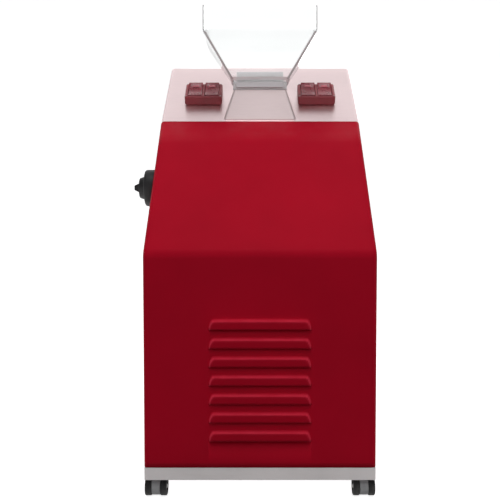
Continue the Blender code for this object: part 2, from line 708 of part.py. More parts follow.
# ---------------------------------------------------------------- pump, filter and pipes
def make_pump():
    y, z = PUMP_Y, PUMP_Z
    motor = cylinder("pump_motor", (-0.028, y, z), 0.052, 0.135, "x", MOTOR, sides=32)
    fins = [box("motor_fin", (-0.015, y - 0.0015, z + 0.048), (0.085, y + 0.0015, z + 0.060))]
    for index in range(1, 4):
        for side in (-1, 1):
            fin = box("motor_fin", (-0.015, -0.0015, 0.048), (0.085, 0.0015, 0.060))
            spin = side * index * math.radians(24)
            centre = Vector((0.035, y - math.sin(spin) * 0.054, z + math.cos(spin) * 0.054))
            fin.location, fin.rotation_euler = centre, (spin, 0, 0)
            fins.append(fin)
    cover = cylinder("fan_cover", (0.100, y, z), 0.056, 0.030, "x", sides=32)
    box_on_top = box("terminal_box", (0.000, y - 0.030, z + 0.045), (0.060, y + 0.030, z + 0.082))
    shaft_bore = cylinder("motor_bore", (-0.040, y, z), 0.0064, 0.080, "x", sides=20)
    cut(join(motor, cover, box_on_top, *fins), shaft_bore)

    volute = cylinder("pump_housing", (-0.082, y, z), 0.054, 0.048, "x", CASTOR_GREY, sides=24)
    outlet = cylinder("pump_outlet", (-0.058, y + 0.030, z), 0.014, 0.068, "z", sides=20)
    inlet = cylinder("pump_inlet", (-0.098, y, z), 0.016, 0.020, "x", sides=20)
    cavity = cylinder("cavity", (-0.072, y, z), 0.045, 0.028, "x", sides=24)
    in_bore = cylinder("inlet_bore", (-0.11, y, z), 0.011, 0.05, "x", sides=20)
    out_bore = cylinder("outlet_bore", (-0.058, y + 0.030, z), 0.009, 0.09, "z", sides=20)
    shaft_hole = cylinder("shaft_hole", (-0.06, y, z), 0.0066, 0.05, "x", sides=20)
    cut(join(volute, outlet, inlet), cavity, in_bore, out_bore, shaft_hole)

    rotor = cylinder("pump_rotor", (-0.070, y, z), 0.0060, 0.098, "x", BRASS, sides=20)
    disc = cylinder("impeller", (-0.050, y, z), 0.040, 0.003, "x", sides=32)
    vanes = []
    for index in range(6):
        vane = box("vane", (-0.009, 0.008, -0.0012), (0.009, 0.036, 0.0012))
        angle = index * math.pi / 3
        vane.location = (-0.056, y + 0.022 * math.cos(angle), z + 0.022 * math.sin(angle))
        vane.rotation_euler = (angle + math.radians(18), 0, 0)
        vanes.append(vane)
    join(rotor, disc, *vanes)

    foot = box("pump_bracket", (-0.075, y - 0.060, BODY_Z), (0.105, y + 0.060, BODY_Z + 0.005), GREY)
    cradle = box("cradle", (0.000, y - 0.045, BODY_Z + 0.004), (0.080, y + 0.045, z - 0.030))
    seat = cylinder("cradle_seat", (-0.05, y, z), 0.0525, 0.20, "x", sides=32)
    hollow = box("cradle_hollow", (-0.01, y - 0.030, BODY_Z + 0.0055), (0.09, y + 0.030, z - 0.0525))
    cut(join(foot, cradle), seat, hollow)


def make_filter():
    x, y = FILTER_AT
    head_z = 0.238
    bowl = cylinder("filter_bowl", (x, y, 0.100), 0.038, 0.110, "z", CLEAR, sides=28)
    rounded(bowl, 0.004)
    hollow = cylinder("bowl_hollow", (x, y, 0.104), 0.035, 0.12, "z", sides=28)
    cut(bowl, hollow)
    head = cylinder("filter_head", (x, y, 0.2105), 0.044, 0.030, "z", BLACK, sides=28)
    neck = cylinder("filter_neck", (x, y, head_z), 0.0165, TANK_FLOOR_Z - GAP - head_z, "z", sides=20)
    port = cylinder("filter_port", (x, y + 0.030, 0.2255), 0.0130, 0.028, "y", sides=20)
    bore = cylinder("filter_bore", (x, y, 0.205), 0.0110, 0.08, "z", sides=20)
    port_bore = cylinder("port_bore", (x, y, 0.2255), 0.0085, 0.07, "y", sides=20)
    cut(join(head, neck, port), bore, port_bore)
    cartridge = cylinder("filter_cartridge", (x, y, 0.1055), 0.026, 0.1040, "z", STEEL, sides=24)
    core = cylinder("cartridge_core", (x, y, 0.1095), 0.010, 0.12, "z", sides=16)
    cut(cartridge, core)


def make_pipes():
    x, y = FILTER_AT
    tube("suction_hose", [(x, y + 0.0590, 0.2255), (x, y + 0.120, 0.2255), (x, y + 0.120, PUMP_Z),
                          (-0.0990, y + 0.120, PUMP_Z)], 0.0105, HOSE, 0.030, 3)
    out_y = PUMP_Y + 0.030
    tube("delivery_hose", [(-0.058, out_y, PUMP_Z + 0.0688), (-0.058, out_y, 0.246),
                           (-0.118, HOSE_AT[1], 0.246), (-HOSE_AT[0], HOSE_AT[1], 0.246),
                           (-HOSE_AT[0], HOSE_AT[1], 0.636), (-0.1906, HOSE_AT[1], 0.636)],
         0.0085, HOSE, 0.022, 3)


def make_drain():
    """A ball valve under the tank with its spout at the service door."""
    x, y = DRAIN_AT
    valve = cylinder("drain_valve", (x, y - 0.020, 0.215), 0.015, 0.100, "y", BRASS, sides=20)
    riser = cylinder("drain_riser", (x, y, 0.205), 0.0145, TANK_FLOOR_Z - GAP - 0.205, "z", sides=20)
    body = box("valve_body", (x - 0.018, y + 0.024, 0.197), (x + 0.018, y + 0.058, 0.233))
    spout = cylinder("drain_spout", (x, y + 0.072, 0.186), 0.0125, 0.030, "z", sides=20)
    stem = cylinder("valve_stem", (x, y + 0.041, 0.230), 0.006, 0.012, "z", sides=16)
    riser_bore = cylinder("riser_bore", (x, y, 0.21), 0.009, 0.08, "z", sides=16)
    spout_bore = cylinder("spout_bore", (x, y + 0.072, 0.17), 0.008, 0.04, "z", sides=16)
    cut(join(valve, riser, body, spout, stem), riser_bore, spout_bore)
    lever = box("drain_lever", (x - 0.008, y + 0.033, 0.2424), (x + 0.008, y + 0.049, 0.2464), RED)
    arm = box("lever_arm", (x - 0.066, y + 0.035, 0.2430), (x - 0.002, y + 0.047, 0.2460))
    join(lever, arm)


# ---------------------------------------------------------------- hopper
def make_boot():
    """A steel skirt that brings the sloping deck up to the level neck."""
    front_y, back_y = 0.030, NECK_Y + NECK_HALF[1] + 0.003
    foot = [(-0.0925, front_y), (0.0925, front_y), (BOOT_BACK, back_y), (-BOOT_BACK, back_y)]
    low = under_deck([(x, y, 0) for x, y in foot], -0.0006)
    top_z = NECK_Z[0] - GAP
    high = ring(NECK_HALF[0], NECK_Y - NECK_HALF[1], NECK_Y + NECK_HALF[1], top_z)
    boot = six_sided("hopper_boot", low, high, STEEL)
    inner_back = NECK_Y + THROAT_HALF[1]
    inside = [(-0.0880, front_y + 0.003), (0.0880, front_y + 0.003), (0.0600, inner_back), (-0.0600, inner_back)]
    inner_low = under_deck([(x, y, 0) for x, y in inside], 0.004)
    inner_high = ring(THROAT_HALF[0], NECK_Y - THROAT_HALF[1], NECK_Y + THROAT_HALF[1], top_z + 0.004)
    return cut(boot, six_sided("boot_hollow", inner_low, inner_high))


def make_gate():
    """The neck with the slot for the slide gate, and the gate blade, shut."""
    low_y, high_y = NECK_Y - NECK_HALF[1], NECK_Y + NECK_HALF[1]
    neck = box("gate_housing", (-NECK_HALF[0], low_y, NECK_Z[0]), (NECK_HALF[0], high_y, NECK_Z[1]), GREY)
    sleeve = box("sleeve", (-THROAT_HALF[0] - 0.003, NECK_Y - THROAT_HALF[1] - 0.003, NECK_Z[1] - 0.002),
                 (THROAT_HALF[0] + 0.003, NECK_Y + THROAT_HALF[1] + 0.003, SLEEVE_TOP))
    throat = box("throat", (-THROAT_HALF[0], NECK_Y - THROAT_HALF[1], 0.90),
                 (THROAT_HALF[0], NECK_Y + THROAT_HALF[1], 1.0))
    slot = box("gate_slot", (-0.0605, low_y - 0.01, BLADE_Z - 0.0004),
               (0.0605, high_y - 0.004, BLADE_Z + 0.0024))
    cut(join(neck, sleeve), throat, slot)
    blade = box("gate_blade", (-0.060, low_y - 0.008, BLADE_Z),
                (0.060, high_y - 0.0045, BLADE_Z + 0.0020), STEEL)
    lip = box("gate_lip", (-0.060, low_y - 0.0095, BLADE_Z - 0.006),
              (0.060, low_y - 0.0075, BLADE_Z + 0.006))
    join(blade, lip)


def hopper_ring(z, inset=0.0):
    """The hopper's outer ring at a height: it flares up to the fold and then stands straight."""
    share = min(1.0, (z - NECK_Z[1]) / (HOPPER_FOLD_Z - NECK_Z[1]))
    spread = HOPPER_FLARE * share - inset
    return ring(NECK_HALF[0] + spread, NECK_Y - NECK_HALF[1] - spread, NECK_Y + NECK_HALF[1] + spread, z)


def make_hopper():
    base_z = NECK_Z[1] + GAP
    clear = six_sided("hopper_shell", hopper_ring(base_z), hopper_ring(HOPPER_FOLD_Z), CLEAR)
    low, high = hopper_ring(HOPPER_FOLD_Z - 0.0005), hopper_ring(HOPPER_TOP_Z)
    join(clear, six_sided("collar", low, high))
    wall = CLEAR_WALL
    slant_wall = wall * 1.19
    hollow = six_sided("hopper_hollow", hopper_ring(base_z - 0.004, slant_wall),
                       hopper_ring(HOPPER_FOLD_Z, slant_wall))
    collar_hollow = six_sided("collar_hollow", hopper_ring(HOPPER_FOLD_Z - 0.0008, wall + 0.0006),
                              hopper_ring(HOPPER_TOP_Z + 0.01, wall + 0.0006))
    cut(clear, hollow, collar_hollow)

    low_z, high_z = base_z + 0.0004, HOPPER_FOLD_Z - 0.0010
    out = 0.0004
    strap = 0.0022
    outer_low, outer_high = hopper_ring(low_z, -out - strap), hopper_ring(high_z, -out - strap)
    frame = six_sided("hopper_frame", outer_low, outer_high, GREY)
    inner_low, inner_high = hopper_ring(low_z - 0.008, -out), hopper_ring(high_z + 0.0006, -out)
    cut(frame, six_sided("frame_hollow", inner_low, inner_high))
    window = 0.0065
    hem_z = low_z + 0.010
    low_ring, high_ring = hopper_ring(hem_z, window), hopper_ring(high_z + 0.002, window)
    reach = 0.2

    def stretched(points, axis):
        centre = (0, NECK_Y)
        moved = []
        for point in points:
            spot = list(point)
            spot[axis] += math.copysign(reach, spot[axis] - centre[axis])
            moved.append(tuple(spot))
        return moved

    cut(frame, *[six_sided("window_cut", stretched(low_ring, axis), stretched(high_ring, axis))
                 for axis in (0, 1)])
    cut(frame, box("open_back", (-reach, NECK_Y, hem_z), (reach, NECK_Y + reach, HOPPER_TOP_Z)))


# ---------------------------------------------------------------- switches
BOX_SIZE = (0.096, 0.070, 0.026)
BOX_X, BOX_UP = 0.147, 0.116
ROCKER = (0.036, 0.054)
ROCKER_Z = 0.0225
ROCKER_TILT = math.radians(8)


def make_rocker(name, at, frame):
    """A see-saw rocker: its origin is on its pivot, and at rest its upper end stands out."""
    half = ROCKER[1] / 2
    outline = [(-half, -0.008), (half, -0.008), (half, 0.0085), (half * 0.5, 0.0045), (0, 0.0032),
               (-half * 0.5, 0.0045), (-half, 0.0085)]
    lie = Euler((math.pi / 2, 0, math.pi / 2)).to_matrix()
    turn = (Euler((ROCKER_TILT, 0, 0)).to_matrix() @ lie).to_euler()
    return plate(name, outline, ROCKER[0], LAMP, turn, at, parent=frame)


def make_switches(frame):
    for side, sign in (("left", -1), ("right", 1)):
        centre = Vector((sign * BOX_X, BOX_UP, 0))
        low = centre + Vector((-BOX_SIZE[0] / 2, -BOX_SIZE[1] / 2, GAP))
        high = centre + Vector((BOX_SIZE[0] / 2, BOX_SIZE[1] / 2, BOX_SIZE[2]))
        housing = box(f"switch_box_{side}", low, high, MAROON, parent=frame)
        rounded(housing, 0.003)
        for place, x in (("inner", -sign * 0.0215), ("outer", sign * 0.0215)):
            pivot = centre + Vector((x, 0, ROCKER_Z))
            half = Vector((ROCKER[0] / 2 + 0.0008, ROCKER[1] / 2 + 0.0030, 0))
            floor, mouth = Vector((0, 0, -0.0135)), Vector((0, 0, 0.02))
            well = box("rocker_well", pivot - half + floor, pivot + half + mouth, parent=frame)
            cut(housing, well)
            make_rocker(f"rocker_{side}_{place}", pivot, frame)


def make_rotary_switch():
    """A surface-mounted rotary switch: a domed base on the side, its knob, and its contact block."""
    y, z = KNOB_AT
    x = -HALF_W - GAP
    base_thick, skirt_thick = 0.025, 0.0135
    base = cylinder("switch_base", (x - base_thick, y, z), 0.044, base_thick, "x", BLACK, sides=36)
    rounded(base, 0.004)
    hollow = cylinder("base_hollow", (x - base_thick + 0.004, y, z), 0.038, 0.04, "x", sides=36)
    cut(base, hollow, cylinder("base_bore", (x - 0.04, y, z), 0.0070, 0.05, "x", sides=20))
    knob_face = x - base_thick - GAP
    skirt_at = (knob_face - skirt_thick, y, z)
    knob = cylinder("rotary_knob", skirt_at, 0.0235, skirt_thick, "x", BLACK, sides=36, end_radius=0.0275)
    tip = -HALF_W - KNOB_REACH
    grip = six_sided("knob_grip", ring(0.0055, -0.0195, 0.0195, 0), ring(0.0120, -0.0225, 0.0225, 0.0145),
                     at=(tip, y, z), turn=(0, math.pi / 2, 0))
    shaft = cylinder("knob_shaft", (knob_face - 0.004, y, z), 0.0040, 0.052, "x", sides=16)
    join(knob, grip, shaft)
    body = box("rotary_switch_body", (-HALF_W + SHEET + GAP, y - 0.020, z - 0.020),
               (-HALF_W + 0.036, y + 0.020, z + 0.020), BLACK)
    cut(body, cylinder("body_bore", (-HALF_W - 0.01, y, z), 0.0048, 0.040, "x", sides=16))


def make_power_inlet():
    """The mains inlet on the back: a flange, a body behind it and a recess with three pins' room."""
    low, high = (0.1465, BACK - 0.024, 0.7585), (0.1735, BACK + 0.001, 0.7815)
    inlet = box("power_inlet", low, high, BLACK)
    flange = box("inlet_flange", (0.136, BACK + GAP, 0.752), (0.184, BACK + 0.0035, 0.788))
    recess = box("inlet_recess", (0.150, BACK - 0.016, 0.762), (0.170, BACK + 0.01, 0.778))
    return cut(join(inlet, flange), recess)


def make_cabinet():
    make_front_panel()
    left = make_side_panel("side_panel_left", -1)
    y, z = KNOB_AT
    cut(left, cylinder("side_bore", (-HALF_W - 0.02, y, z), 0.0070, 0.04, "x", sides=20))
    make_side_panel("side_panel_right", 1)
    make_side_frame("side_frame_left", -1)
    make_side_frame("side_frame_right", 1)
    make_deck()
    make_rear_panel()


make_base()
make_castors()
make_cabinet()
make_door()
make_latch()
make_drawer()
make_racks()
make_splash_hood()
make_chute()
make_spray_bar()
make_tank()
make_heater()
make_pump()
make_filter()
make_pipes()
make_drain()
make_boot()
make_gate()
make_hopper()
make_switches(deck_frame())
make_rotary_switch()
make_power_inlet()
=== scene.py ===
import json
import math

import bmesh
import bpy
from mathutils import Euler, Matrix, Vector

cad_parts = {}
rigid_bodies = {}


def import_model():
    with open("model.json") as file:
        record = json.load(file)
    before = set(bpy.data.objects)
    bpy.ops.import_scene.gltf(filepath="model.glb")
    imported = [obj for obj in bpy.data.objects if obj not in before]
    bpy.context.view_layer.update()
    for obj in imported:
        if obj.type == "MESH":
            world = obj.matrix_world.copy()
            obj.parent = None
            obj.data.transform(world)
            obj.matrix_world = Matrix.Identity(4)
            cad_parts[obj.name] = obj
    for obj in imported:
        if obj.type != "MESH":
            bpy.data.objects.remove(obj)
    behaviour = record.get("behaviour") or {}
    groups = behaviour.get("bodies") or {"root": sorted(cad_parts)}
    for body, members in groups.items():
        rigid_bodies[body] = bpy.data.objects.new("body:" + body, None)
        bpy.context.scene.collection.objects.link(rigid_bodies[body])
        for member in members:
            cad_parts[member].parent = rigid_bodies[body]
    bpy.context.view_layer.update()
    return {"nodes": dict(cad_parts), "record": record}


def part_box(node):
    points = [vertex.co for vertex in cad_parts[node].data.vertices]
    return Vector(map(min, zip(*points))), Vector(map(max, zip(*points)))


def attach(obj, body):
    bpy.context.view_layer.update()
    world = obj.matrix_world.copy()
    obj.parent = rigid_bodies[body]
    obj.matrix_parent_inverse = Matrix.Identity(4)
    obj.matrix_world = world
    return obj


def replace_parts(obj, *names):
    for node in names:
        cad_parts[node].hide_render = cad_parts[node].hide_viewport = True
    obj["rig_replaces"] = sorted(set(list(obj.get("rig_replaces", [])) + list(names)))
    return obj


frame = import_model()
NODES = frame["nodes"]
OWNER = {node: body for body, names in frame["record"]["behaviour"]["bodies"].items() for node in names}
SLOTS = {row["node"]: row["material_slot"] for row in frame["record"]["subparts"]}

# ------------------------------------------------------------- places taken from the frame
FRONT_LOW, FRONT_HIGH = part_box("front_panel")
BASE_LOW, BASE_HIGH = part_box("base_frame")
AT = Vector(((FRONT_LOW.x + FRONT_HIGH.x) / 2, (BASE_LOW.y + BASE_HIGH.y) / 2, 0))
HALF_W = (FRONT_HIGH.x - FRONT_LOW.x) / 2
FRONT, BACK = -0.280, 0.280
BODY_Z = FRONT_LOW.z
# The panels' outline from the side, as (y, z): the fold above the front, the slope's top, the deck's top.
FOLD = Vector((FRONT, 0.5325))
SLOPE_TOP = FOLD + Vector((0.304, 0.315))
DECK_RUN, DECK_RISE = 0.230, 0.179
DECK_TOP = SLOPE_TOP + Vector((DECK_RUN, DECK_RISE))
DECK_ANGLE = math.atan2(DECK_RISE, DECK_RUN)
# Bend radii at the fold, the deck's top and the panels' upright corners, and the depth of their flanges.
FOLD_R, TOP_R, CORNER_R, FLANGE = 0.035, 0.018, 0.010, 0.016
# Sheet thicknesses, the joint between slope and deck, and the clearance between pieces.
SHEET, THIN_SHEET, HOPPER_SHEET, JOINT_GAP, GAP = 0.002, 0.0016, 0.0022, 0.0006, 0.0004
# The louvres: how many, their spacing and the top one's lip, then each one's size and rounded end.
LOUVRES, LOUVRE_PITCH, LOUVRE_FIRST = 7, 0.0400, 0.3672
LOUVRE_LENGTH, LOUVRE_HEIGHT, LOUVRE_OUT, LOUVRE_END = 0.221, 0.0245, 0.0076, 0.014
# The neck's middle, half its size, and the hopper's levels: its foot, its fold and its rim.
NECK_Y, NECK_HALF_X, NECK_HALF_Y = 0.080, 0.068, 0.044
HOPPER_FOOT, HOPPER_FOLD, HOPPER_RIM, HOPPER_SPREAD = 0.950, 1.061, 1.120, 0.071
# The knob: how far its base, its turning disc and its grip stand out from the side.
DIAL_OUT, DISC_OUT, GRIP_OUT, GRIP_RIDGES = 0.0250, 0.0120, 0.050, 36
WHEEL_WIDE = 0.0140


def place(name):
    """A CAD node's box in the cabinet's own frame."""
    low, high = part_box(name)
    return low - AT, high - AT


def pivot_of(joint):
    """A joint's place in the cabinet's own frame."""
    row = next(j for j in frame["record"]["behaviour"]["joints"] if j["name"] == joint)
    return Vector(row["pos_m"]) - AT


# ------------------------------------------------------------- materials
class Paint:
    """A material whose nodes are added one at a time to its Principled shader."""

    def __init__(self, name, colour, roughness, metallic=0.0, **sockets):
        self.material = bpy.data.materials.new(name)
        self.material.use_nodes = True
        self.tree = self.material.node_tree
        self.shader = self.tree.nodes["Principled BSDF"]
        self.colour = colour
        self.set("Base Color", (*colour, 1.0))
        self.set("Roughness", roughness)
        self.set("Metallic", metallic)
        for socket, value in sockets.items():
            self.set(socket.replace("_", " "), value)
        self.coords = self.node("ShaderNodeTexCoord")
        self.height = None

    def set(self, socket, value):
        self.shader.inputs[socket].default_value = value

    def node(self, kind, **values):
        made = self.tree.nodes.new(kind)
        for key, value in values.items():
            if key in made.inputs:
                made.inputs[key].default_value = value
            else:
                setattr(made, key, value)
        return made

    def link(self, output, socket):
        self.tree.links.new(output, socket)

    def stretched(self, scale):
        mapping = self.node("ShaderNodeMapping")
        mapping.inputs["Scale"].default_value = scale
        self.link(self.coords.outputs["Object"], mapping.inputs["Vector"])
        return mapping.outputs["Vector"]

    def noise(self, scale, detail=3.0, stretch=(1, 1, 1), roughness=0.5):
        made = self.node("ShaderNodeTexNoise")
        made.inputs["Scale"].default_value = scale
        made.inputs["Detail"].default_value = detail
        made.inputs["Roughness"].default_value = roughness
        self.link(self.stretched(stretch), made.inputs["Vector"])
        return made.outputs["Fac"]

    def ramp(self, value, stops):
        made = self.node("ShaderNodeValToRGB")
        while len(made.color_ramp.elements) < len(stops):
            made.color_ramp.elements.new(0.5)
        for element, (position, colour) in zip(made.color_ramp.elements, stops):
            element.position = position
            element.color = colour if len(colour) == 4 else (*colour, 1.0)
        self.link(value, made.inputs["Fac"])
        return made.outputs["Color"]

    def spread(self, value, low, high, start=0.3, end=0.7):
        made = self.node("ShaderNodeMapRange")
        made.inputs["From Min"].default_value = start
        made.inputs["From Max"].default_value = end
        made.inputs["To Min"].default_value = low
        made.inputs["To Max"].default_value = high
        self.link(value, made.inputs["Value"])
        return made.outputs["Result"]

    def mix(self, share, first, second):
        made = self.node("ShaderNodeMix", data_type="RGBA")
        for value, socket in ((share, made.inputs[0]), (first, made.inputs[6]), (second, made.inputs[7])):
            if isinstance(value, (tuple, list)):
                socket.default_value = (*value, 1.0) if len(value) == 3 else value
            elif isinstance(value, float):
                socket.default_value = value
            else:
                self.link(value, socket)
        return made.outputs[2]

    def worn_edges(self, radius, threshold=0.04):
        """1 on the outer edges, worn away in patches."""
        soft = self.node("ShaderNodeBevel", samples=4)
        soft.inputs["Radius"].default_value = radius
        flat = self.node("ShaderNodeNewGeometry")
        dot = self.node("ShaderNodeVectorMath", operation="DOT_PRODUCT")
        self.link(soft.outputs["Normal"], dot.inputs[0])
        self.link(flat.outputs["Normal"], dot.inputs[1])
        edge = self.spread(dot.outputs["Value"], 1.0, 0.0, 1 - 3 * threshold, 1 - threshold)
        patches = self.spread(self.noise(55, 4), 0.0, 1.0, 0.46, 0.60)
        made = self.node("ShaderNodeMath", operation="MULTIPLY")
        self.link(edge, made.inputs[0])
        self.link(patches, made.inputs[1])
        return made.outputs["Value"]

    def painted(self, name):
        """The mesh's own value of a name at each place."""
        made = self.node("ShaderNodeAttribute", attribute_name=name)
        return made.outputs["Fac"]

    def colours(self, output):
        self.link(output, self.shader.inputs["Base Color"])

    def rough(self, output):
        self.link(output, self.shader.inputs["Roughness"])

    def bump(self, output, strength, distance=0.001):
        made = self.node("ShaderNodeBump")
        made.inputs["Strength"].default_value = strength
        made.inputs["Distance"].default_value = distance
        self.link(output, made.inputs["Height"])
        if self.height:
            self.link(self.height, made.inputs["Normal"])
        self.height = made.outputs["Normal"]
        self.link(self.height, self.shader.inputs["Normal"])


def tinted(colour, factor):
    return tuple(min(1.0, c * factor) for c in colour)


def powder_coat(name, colour, roughness, worn, sheen=0.3, metal=0.0, ridge_highlight=None):
    """Sprayed powder coat: orange peel, faint cloudy shade, dust in the gloss and rubbed edges, and, when given
    a colour, a painted highlight along the ridges the mesh marks.
    """
    paint = Paint(name, colour, roughness, metal, Specular_IOR_Level=sheen)
    cloud = paint.spread(paint.noise(5, 3), 0.0, 1.0, 0.3, 0.7)
    shade = paint.mix(cloud, tinted(colour, 0.94), tinted(colour, 1.06))
    fleck = paint.spread(paint.noise(900, 2), 0.0, 0.10, 0.55, 0.75)
    shade = paint.mix(fleck, shade, tinted(colour, 1.5))
    shade = paint.mix(paint.worn_edges(0.0015), shade, worn)
    # A lighter colour painted along the marked ridges: a painted highlight standing in for light caught there,
    # not rubbed paint.
    if ridge_highlight:
        patchy_highlight = paint.node("ShaderNodeMath", operation="MULTIPLY")
        paint.link(paint.painted("ridge_highlight"), patchy_highlight.inputs[0])
        paint.link(paint.spread(paint.noise(34, 4), 0.62, 1.0), patchy_highlight.inputs[1])
        shade = paint.mix(patchy_highlight.outputs["Value"], shade, ridge_highlight)
    paint.colours(shade)
    paint.rough(paint.spread(paint.noise(38, 5, roughness=0.6), roughness - 0.06, roughness + 0.08))
    paint.bump(paint.noise(620, 2), 0.16, 0.0004)
    paint.bump(paint.noise(16, 2), 0.05, 0.0015)
    return paint.material


def brushed(name, colour, roughness, grain=(3, 260, 260), marks=0.05):
    """Brushed sheet: long fine scratches one way, cloudy gloss and a few finger marks."""
    paint = Paint(name, colour, roughness, 1.0, Anisotropic=0.35)
    lines = paint.noise(9, 4, grain, 0.65)
    shade = paint.mix(paint.spread(lines, 0.0, 1.0), tinted(colour, 1 - marks), tinted(colour, 1 + marks))
    smudge = paint.spread(paint.noise(7, 4), 0.0, 0.22, 0.52, 0.72)
    paint.colours(paint.mix(smudge, shade, tinted(colour, 0.90)))
    paint.rough(paint.spread(paint.noise(12, 4, grain, 0.6), roughness - 0.07, roughness + 0.09))
    paint.bump(lines, 0.10, 0.0003)
    return paint.material


def moulded(name, colour, roughness, grain=1100, strength=0.22, **sockets):
    """Moulded plastic: spark-eroded grain, slight colour drift and edges polished by handling."""
    paint = Paint(name, colour, roughness, **sockets)
    drift = paint.spread(paint.noise(22, 3), 0.0, 1.0)
    shade = paint.mix(drift, tinted(colour, 0.88), tinted(colour, 1.14))
    paint.colours(paint.mix(paint.worn_edges(0.0010), shade, tuple(c * 0.6 + 0.10 for c in colour)))
    paint.rough(paint.spread(paint.noise(60, 4), roughness - 0.07, roughness + 0.10))
    paint.bump(paint.noise(grain, 2), strength, 0.00025)
    return paint.material


def rubbery(name, colour, roughness, dust):
    """Dull rubber with dust lying on it in patches."""
    paint = Paint(name, colour, roughness, Specular_IOR_Level=0.35)
    dusty = paint.spread(paint.noise(45, 5), 0.0, 0.55, 0.48, 0.74)
    paint.colours(paint.mix(dusty, colour, dust))
    paint.rough(paint.spread(paint.noise(80, 4), roughness - 0.08, roughness + 0.08))
    paint.bump(paint.noise(500, 3), 0.30, 0.0004)
    return paint.material


def clear_sheet(name, colour, roughness):
    """Clear sheet plastic with fine hairline scratches and a little haze."""
    paint = Paint(name, colour, roughness, Transmission_Weight=1.0, IOR=1.32)
    paint.rough(paint.spread(paint.noise(25, 4, (1, 1, 8)), roughness, roughness + 0.10, 0.5, 0.8))
    paint.colours(paint.mix(paint.spread(paint.noise(9, 3), 0.0, 1.0), colour, tinted(colour, 0.97)))
    paint.bump(paint.noise(40, 3, (12, 12, 1)), 0.02, 0.0002)
    return paint.material


def hammered(name, colour, roughness):
    """Hammered enamel: small round cells under a clear coat, rubbed on the edges."""
    paint = Paint(name, colour, roughness, 0.35, Coat_Weight=0.3, Coat_Roughness=0.15)
    cells = paint.node("ShaderNodeTexVoronoi", Scale=260.0)
    paint.link(paint.stretched((1, 1, 1)), cells.inputs["Vector"])
    shade = paint.mix(cells.outputs["Distance"], tinted(colour, 1.25), tinted(colour, 0.75))
    paint.colours(paint.mix(paint.worn_edges(0.0012), shade, (0.45, 0.45, 0.46)))
    paint.rough(paint.spread(paint.noise(30, 4), roughness - 0.06, roughness + 0.08))
    paint.bump(cells.outputs["Distance"], 0.35, 0.0006)
    return paint.material


RED_TONE, RED_WORN, GREY_WORN = (0.555, 0.0024, 0.0212), (0.62, 0.07, 0.10), (0.66, 0.65, 0.64)
LOOK = {
    "red_paint": powder_coat("red_powder_coat", RED_TONE, 0.46, RED_WORN, sheen=0.04),
    # The stainless colour's pink tint is a painted reflection of the red paint, not the steel's own colour.
    "brushed_steel": brushed("brushed_stainless_painted_red_reflection", (0.83, 0.675, 0.685), 0.36),
    "grey_paint": powder_coat("silver_powder_coat", (0.60, 0.57, 0.57), 0.42, GREY_WORN, metal=0.35),
    "black_plastic": moulded("black_moulding", (0.013, 0.012, 0.013), 0.50, Specular_IOR_Level=0.35),
    "switch_housing": moulded("switch_moulding", (0.33, 0.036, 0.050), 0.42, 700, 0.12),
    "switch_red": moulded("switch_cap", (0.36, 0.036, 0.058), 0.28, 500, 0.05,
                          Transmission_Weight=0.15, Coat_Weight=0.3),
    "clear_plastic": clear_sheet("clear_polycarbonate", (0.975, 0.985, 0.985), 0.03),
    "castor_grey": moulded("grey_moulding", (0.40, 0.40, 0.41), 0.45, 800, 0.18),
    "black_rubber": rubbery("tread_rubber", (0.016, 0.016, 0.017), 0.66, (0.10, 0.095, 0.09)),
    "motor_paint": hammered("hammered_enamel", (0.16, 0.20, 0.24), 0.38),
    "hose_rubber": rubbery("hose_rubber", (0.022, 0.022, 0.024), 0.52, (0.07, 0.07, 0.07)),
    "brass": brushed("machined_brass", (0.66, 0.46, 0.20), 0.30, (40, 40, 300), 0.08),
}
EXTRA = {
    "screw": brushed("screw_steel", (0.46, 0.45, 0.44), 0.34, (60, 60, 60), 0.06),
    "dark": moulded("socket_shadow", (0.010, 0.010, 0.011), 0.60),
    "white": moulded("pointer_white", (0.75, 0.75, 0.73), 0.40),
    # The louvred front's coat, with a pinkish painted highlight along each louvre's upper ridge and round its
    # ends.
    "louvred": powder_coat("red_louvred_coat_painted_highlight", RED_TONE, 0.46, RED_WORN, sheen=0.04,
                           ridge_highlight=(0.92, 0.055, 0.110)),
    "lamp": moulded("lamp_lens", (0.60, 0.13, 0.17), 0.22, 500, 0.04, Coat_Weight=0.4),
    "tank": brushed("tank_steel", (0.66, 0.66, 0.67), 0.40, (90, 90, 90), 0.07),
    "strap": powder_coat("strap_coat", (0.60, 0.595, 0.60), 0.40, GREY_WORN, metal=0.35),
    "hem": powder_coat("hem_coat", (0.92, 0.91, 0.92), 0.40, GREY_WORN, metal=0.35),
    "neck": powder_coat("neck_coat", (0.76, 0.73, 0.74), 0.42, GREY_WORN, metal=0.35),
    # Its pink tint is a painted reflection of the red paint, as on the deck's steel.
    "boot": brushed("boot_stainless_painted_red_reflection", (0.97, 0.80, 0.805), 0.38),
    "gate": brushed("gate_steel", (0.56, 0.52, 0.535), 0.40, (3, 260, 260), 0.07),
}


# ------------------------------------------------------------- pieces
def from_bmesh(name, work, material, smooth_angle=38, at=AT):
    """A piece from a finished bmesh, which is freed, in the cabinet's frame unless placed elsewhere."""
    bmesh.ops.recalc_face_normals(work, faces=work.faces)
    mesh = bpy.data.meshes.new(name)
    work.to_mesh(mesh)
    work.free()
    obj = bpy.data.objects.new(name, mesh)
    obj.location = at
    bpy.context.scene.collection.objects.link(obj)
    mesh.materials.append(material)
    shade(obj, smooth_angle)
    return obj


def shade(obj, angle=38):
    obj.data.shade_smooth()
    obj.data.set_sharp_from_angle(angle=math.radians(angle))


def apply_all(obj):
    """Makes what the modifiers give the object's own mesh."""
    bpy.context.view_layer.update()
    graph = bpy.context.evaluated_depsgraph_get()
    mesh = bpy.data.meshes.new_from_object(obj.evaluated_get(graph))
    obj.modifiers.clear()
    obj.data = mesh
    return obj


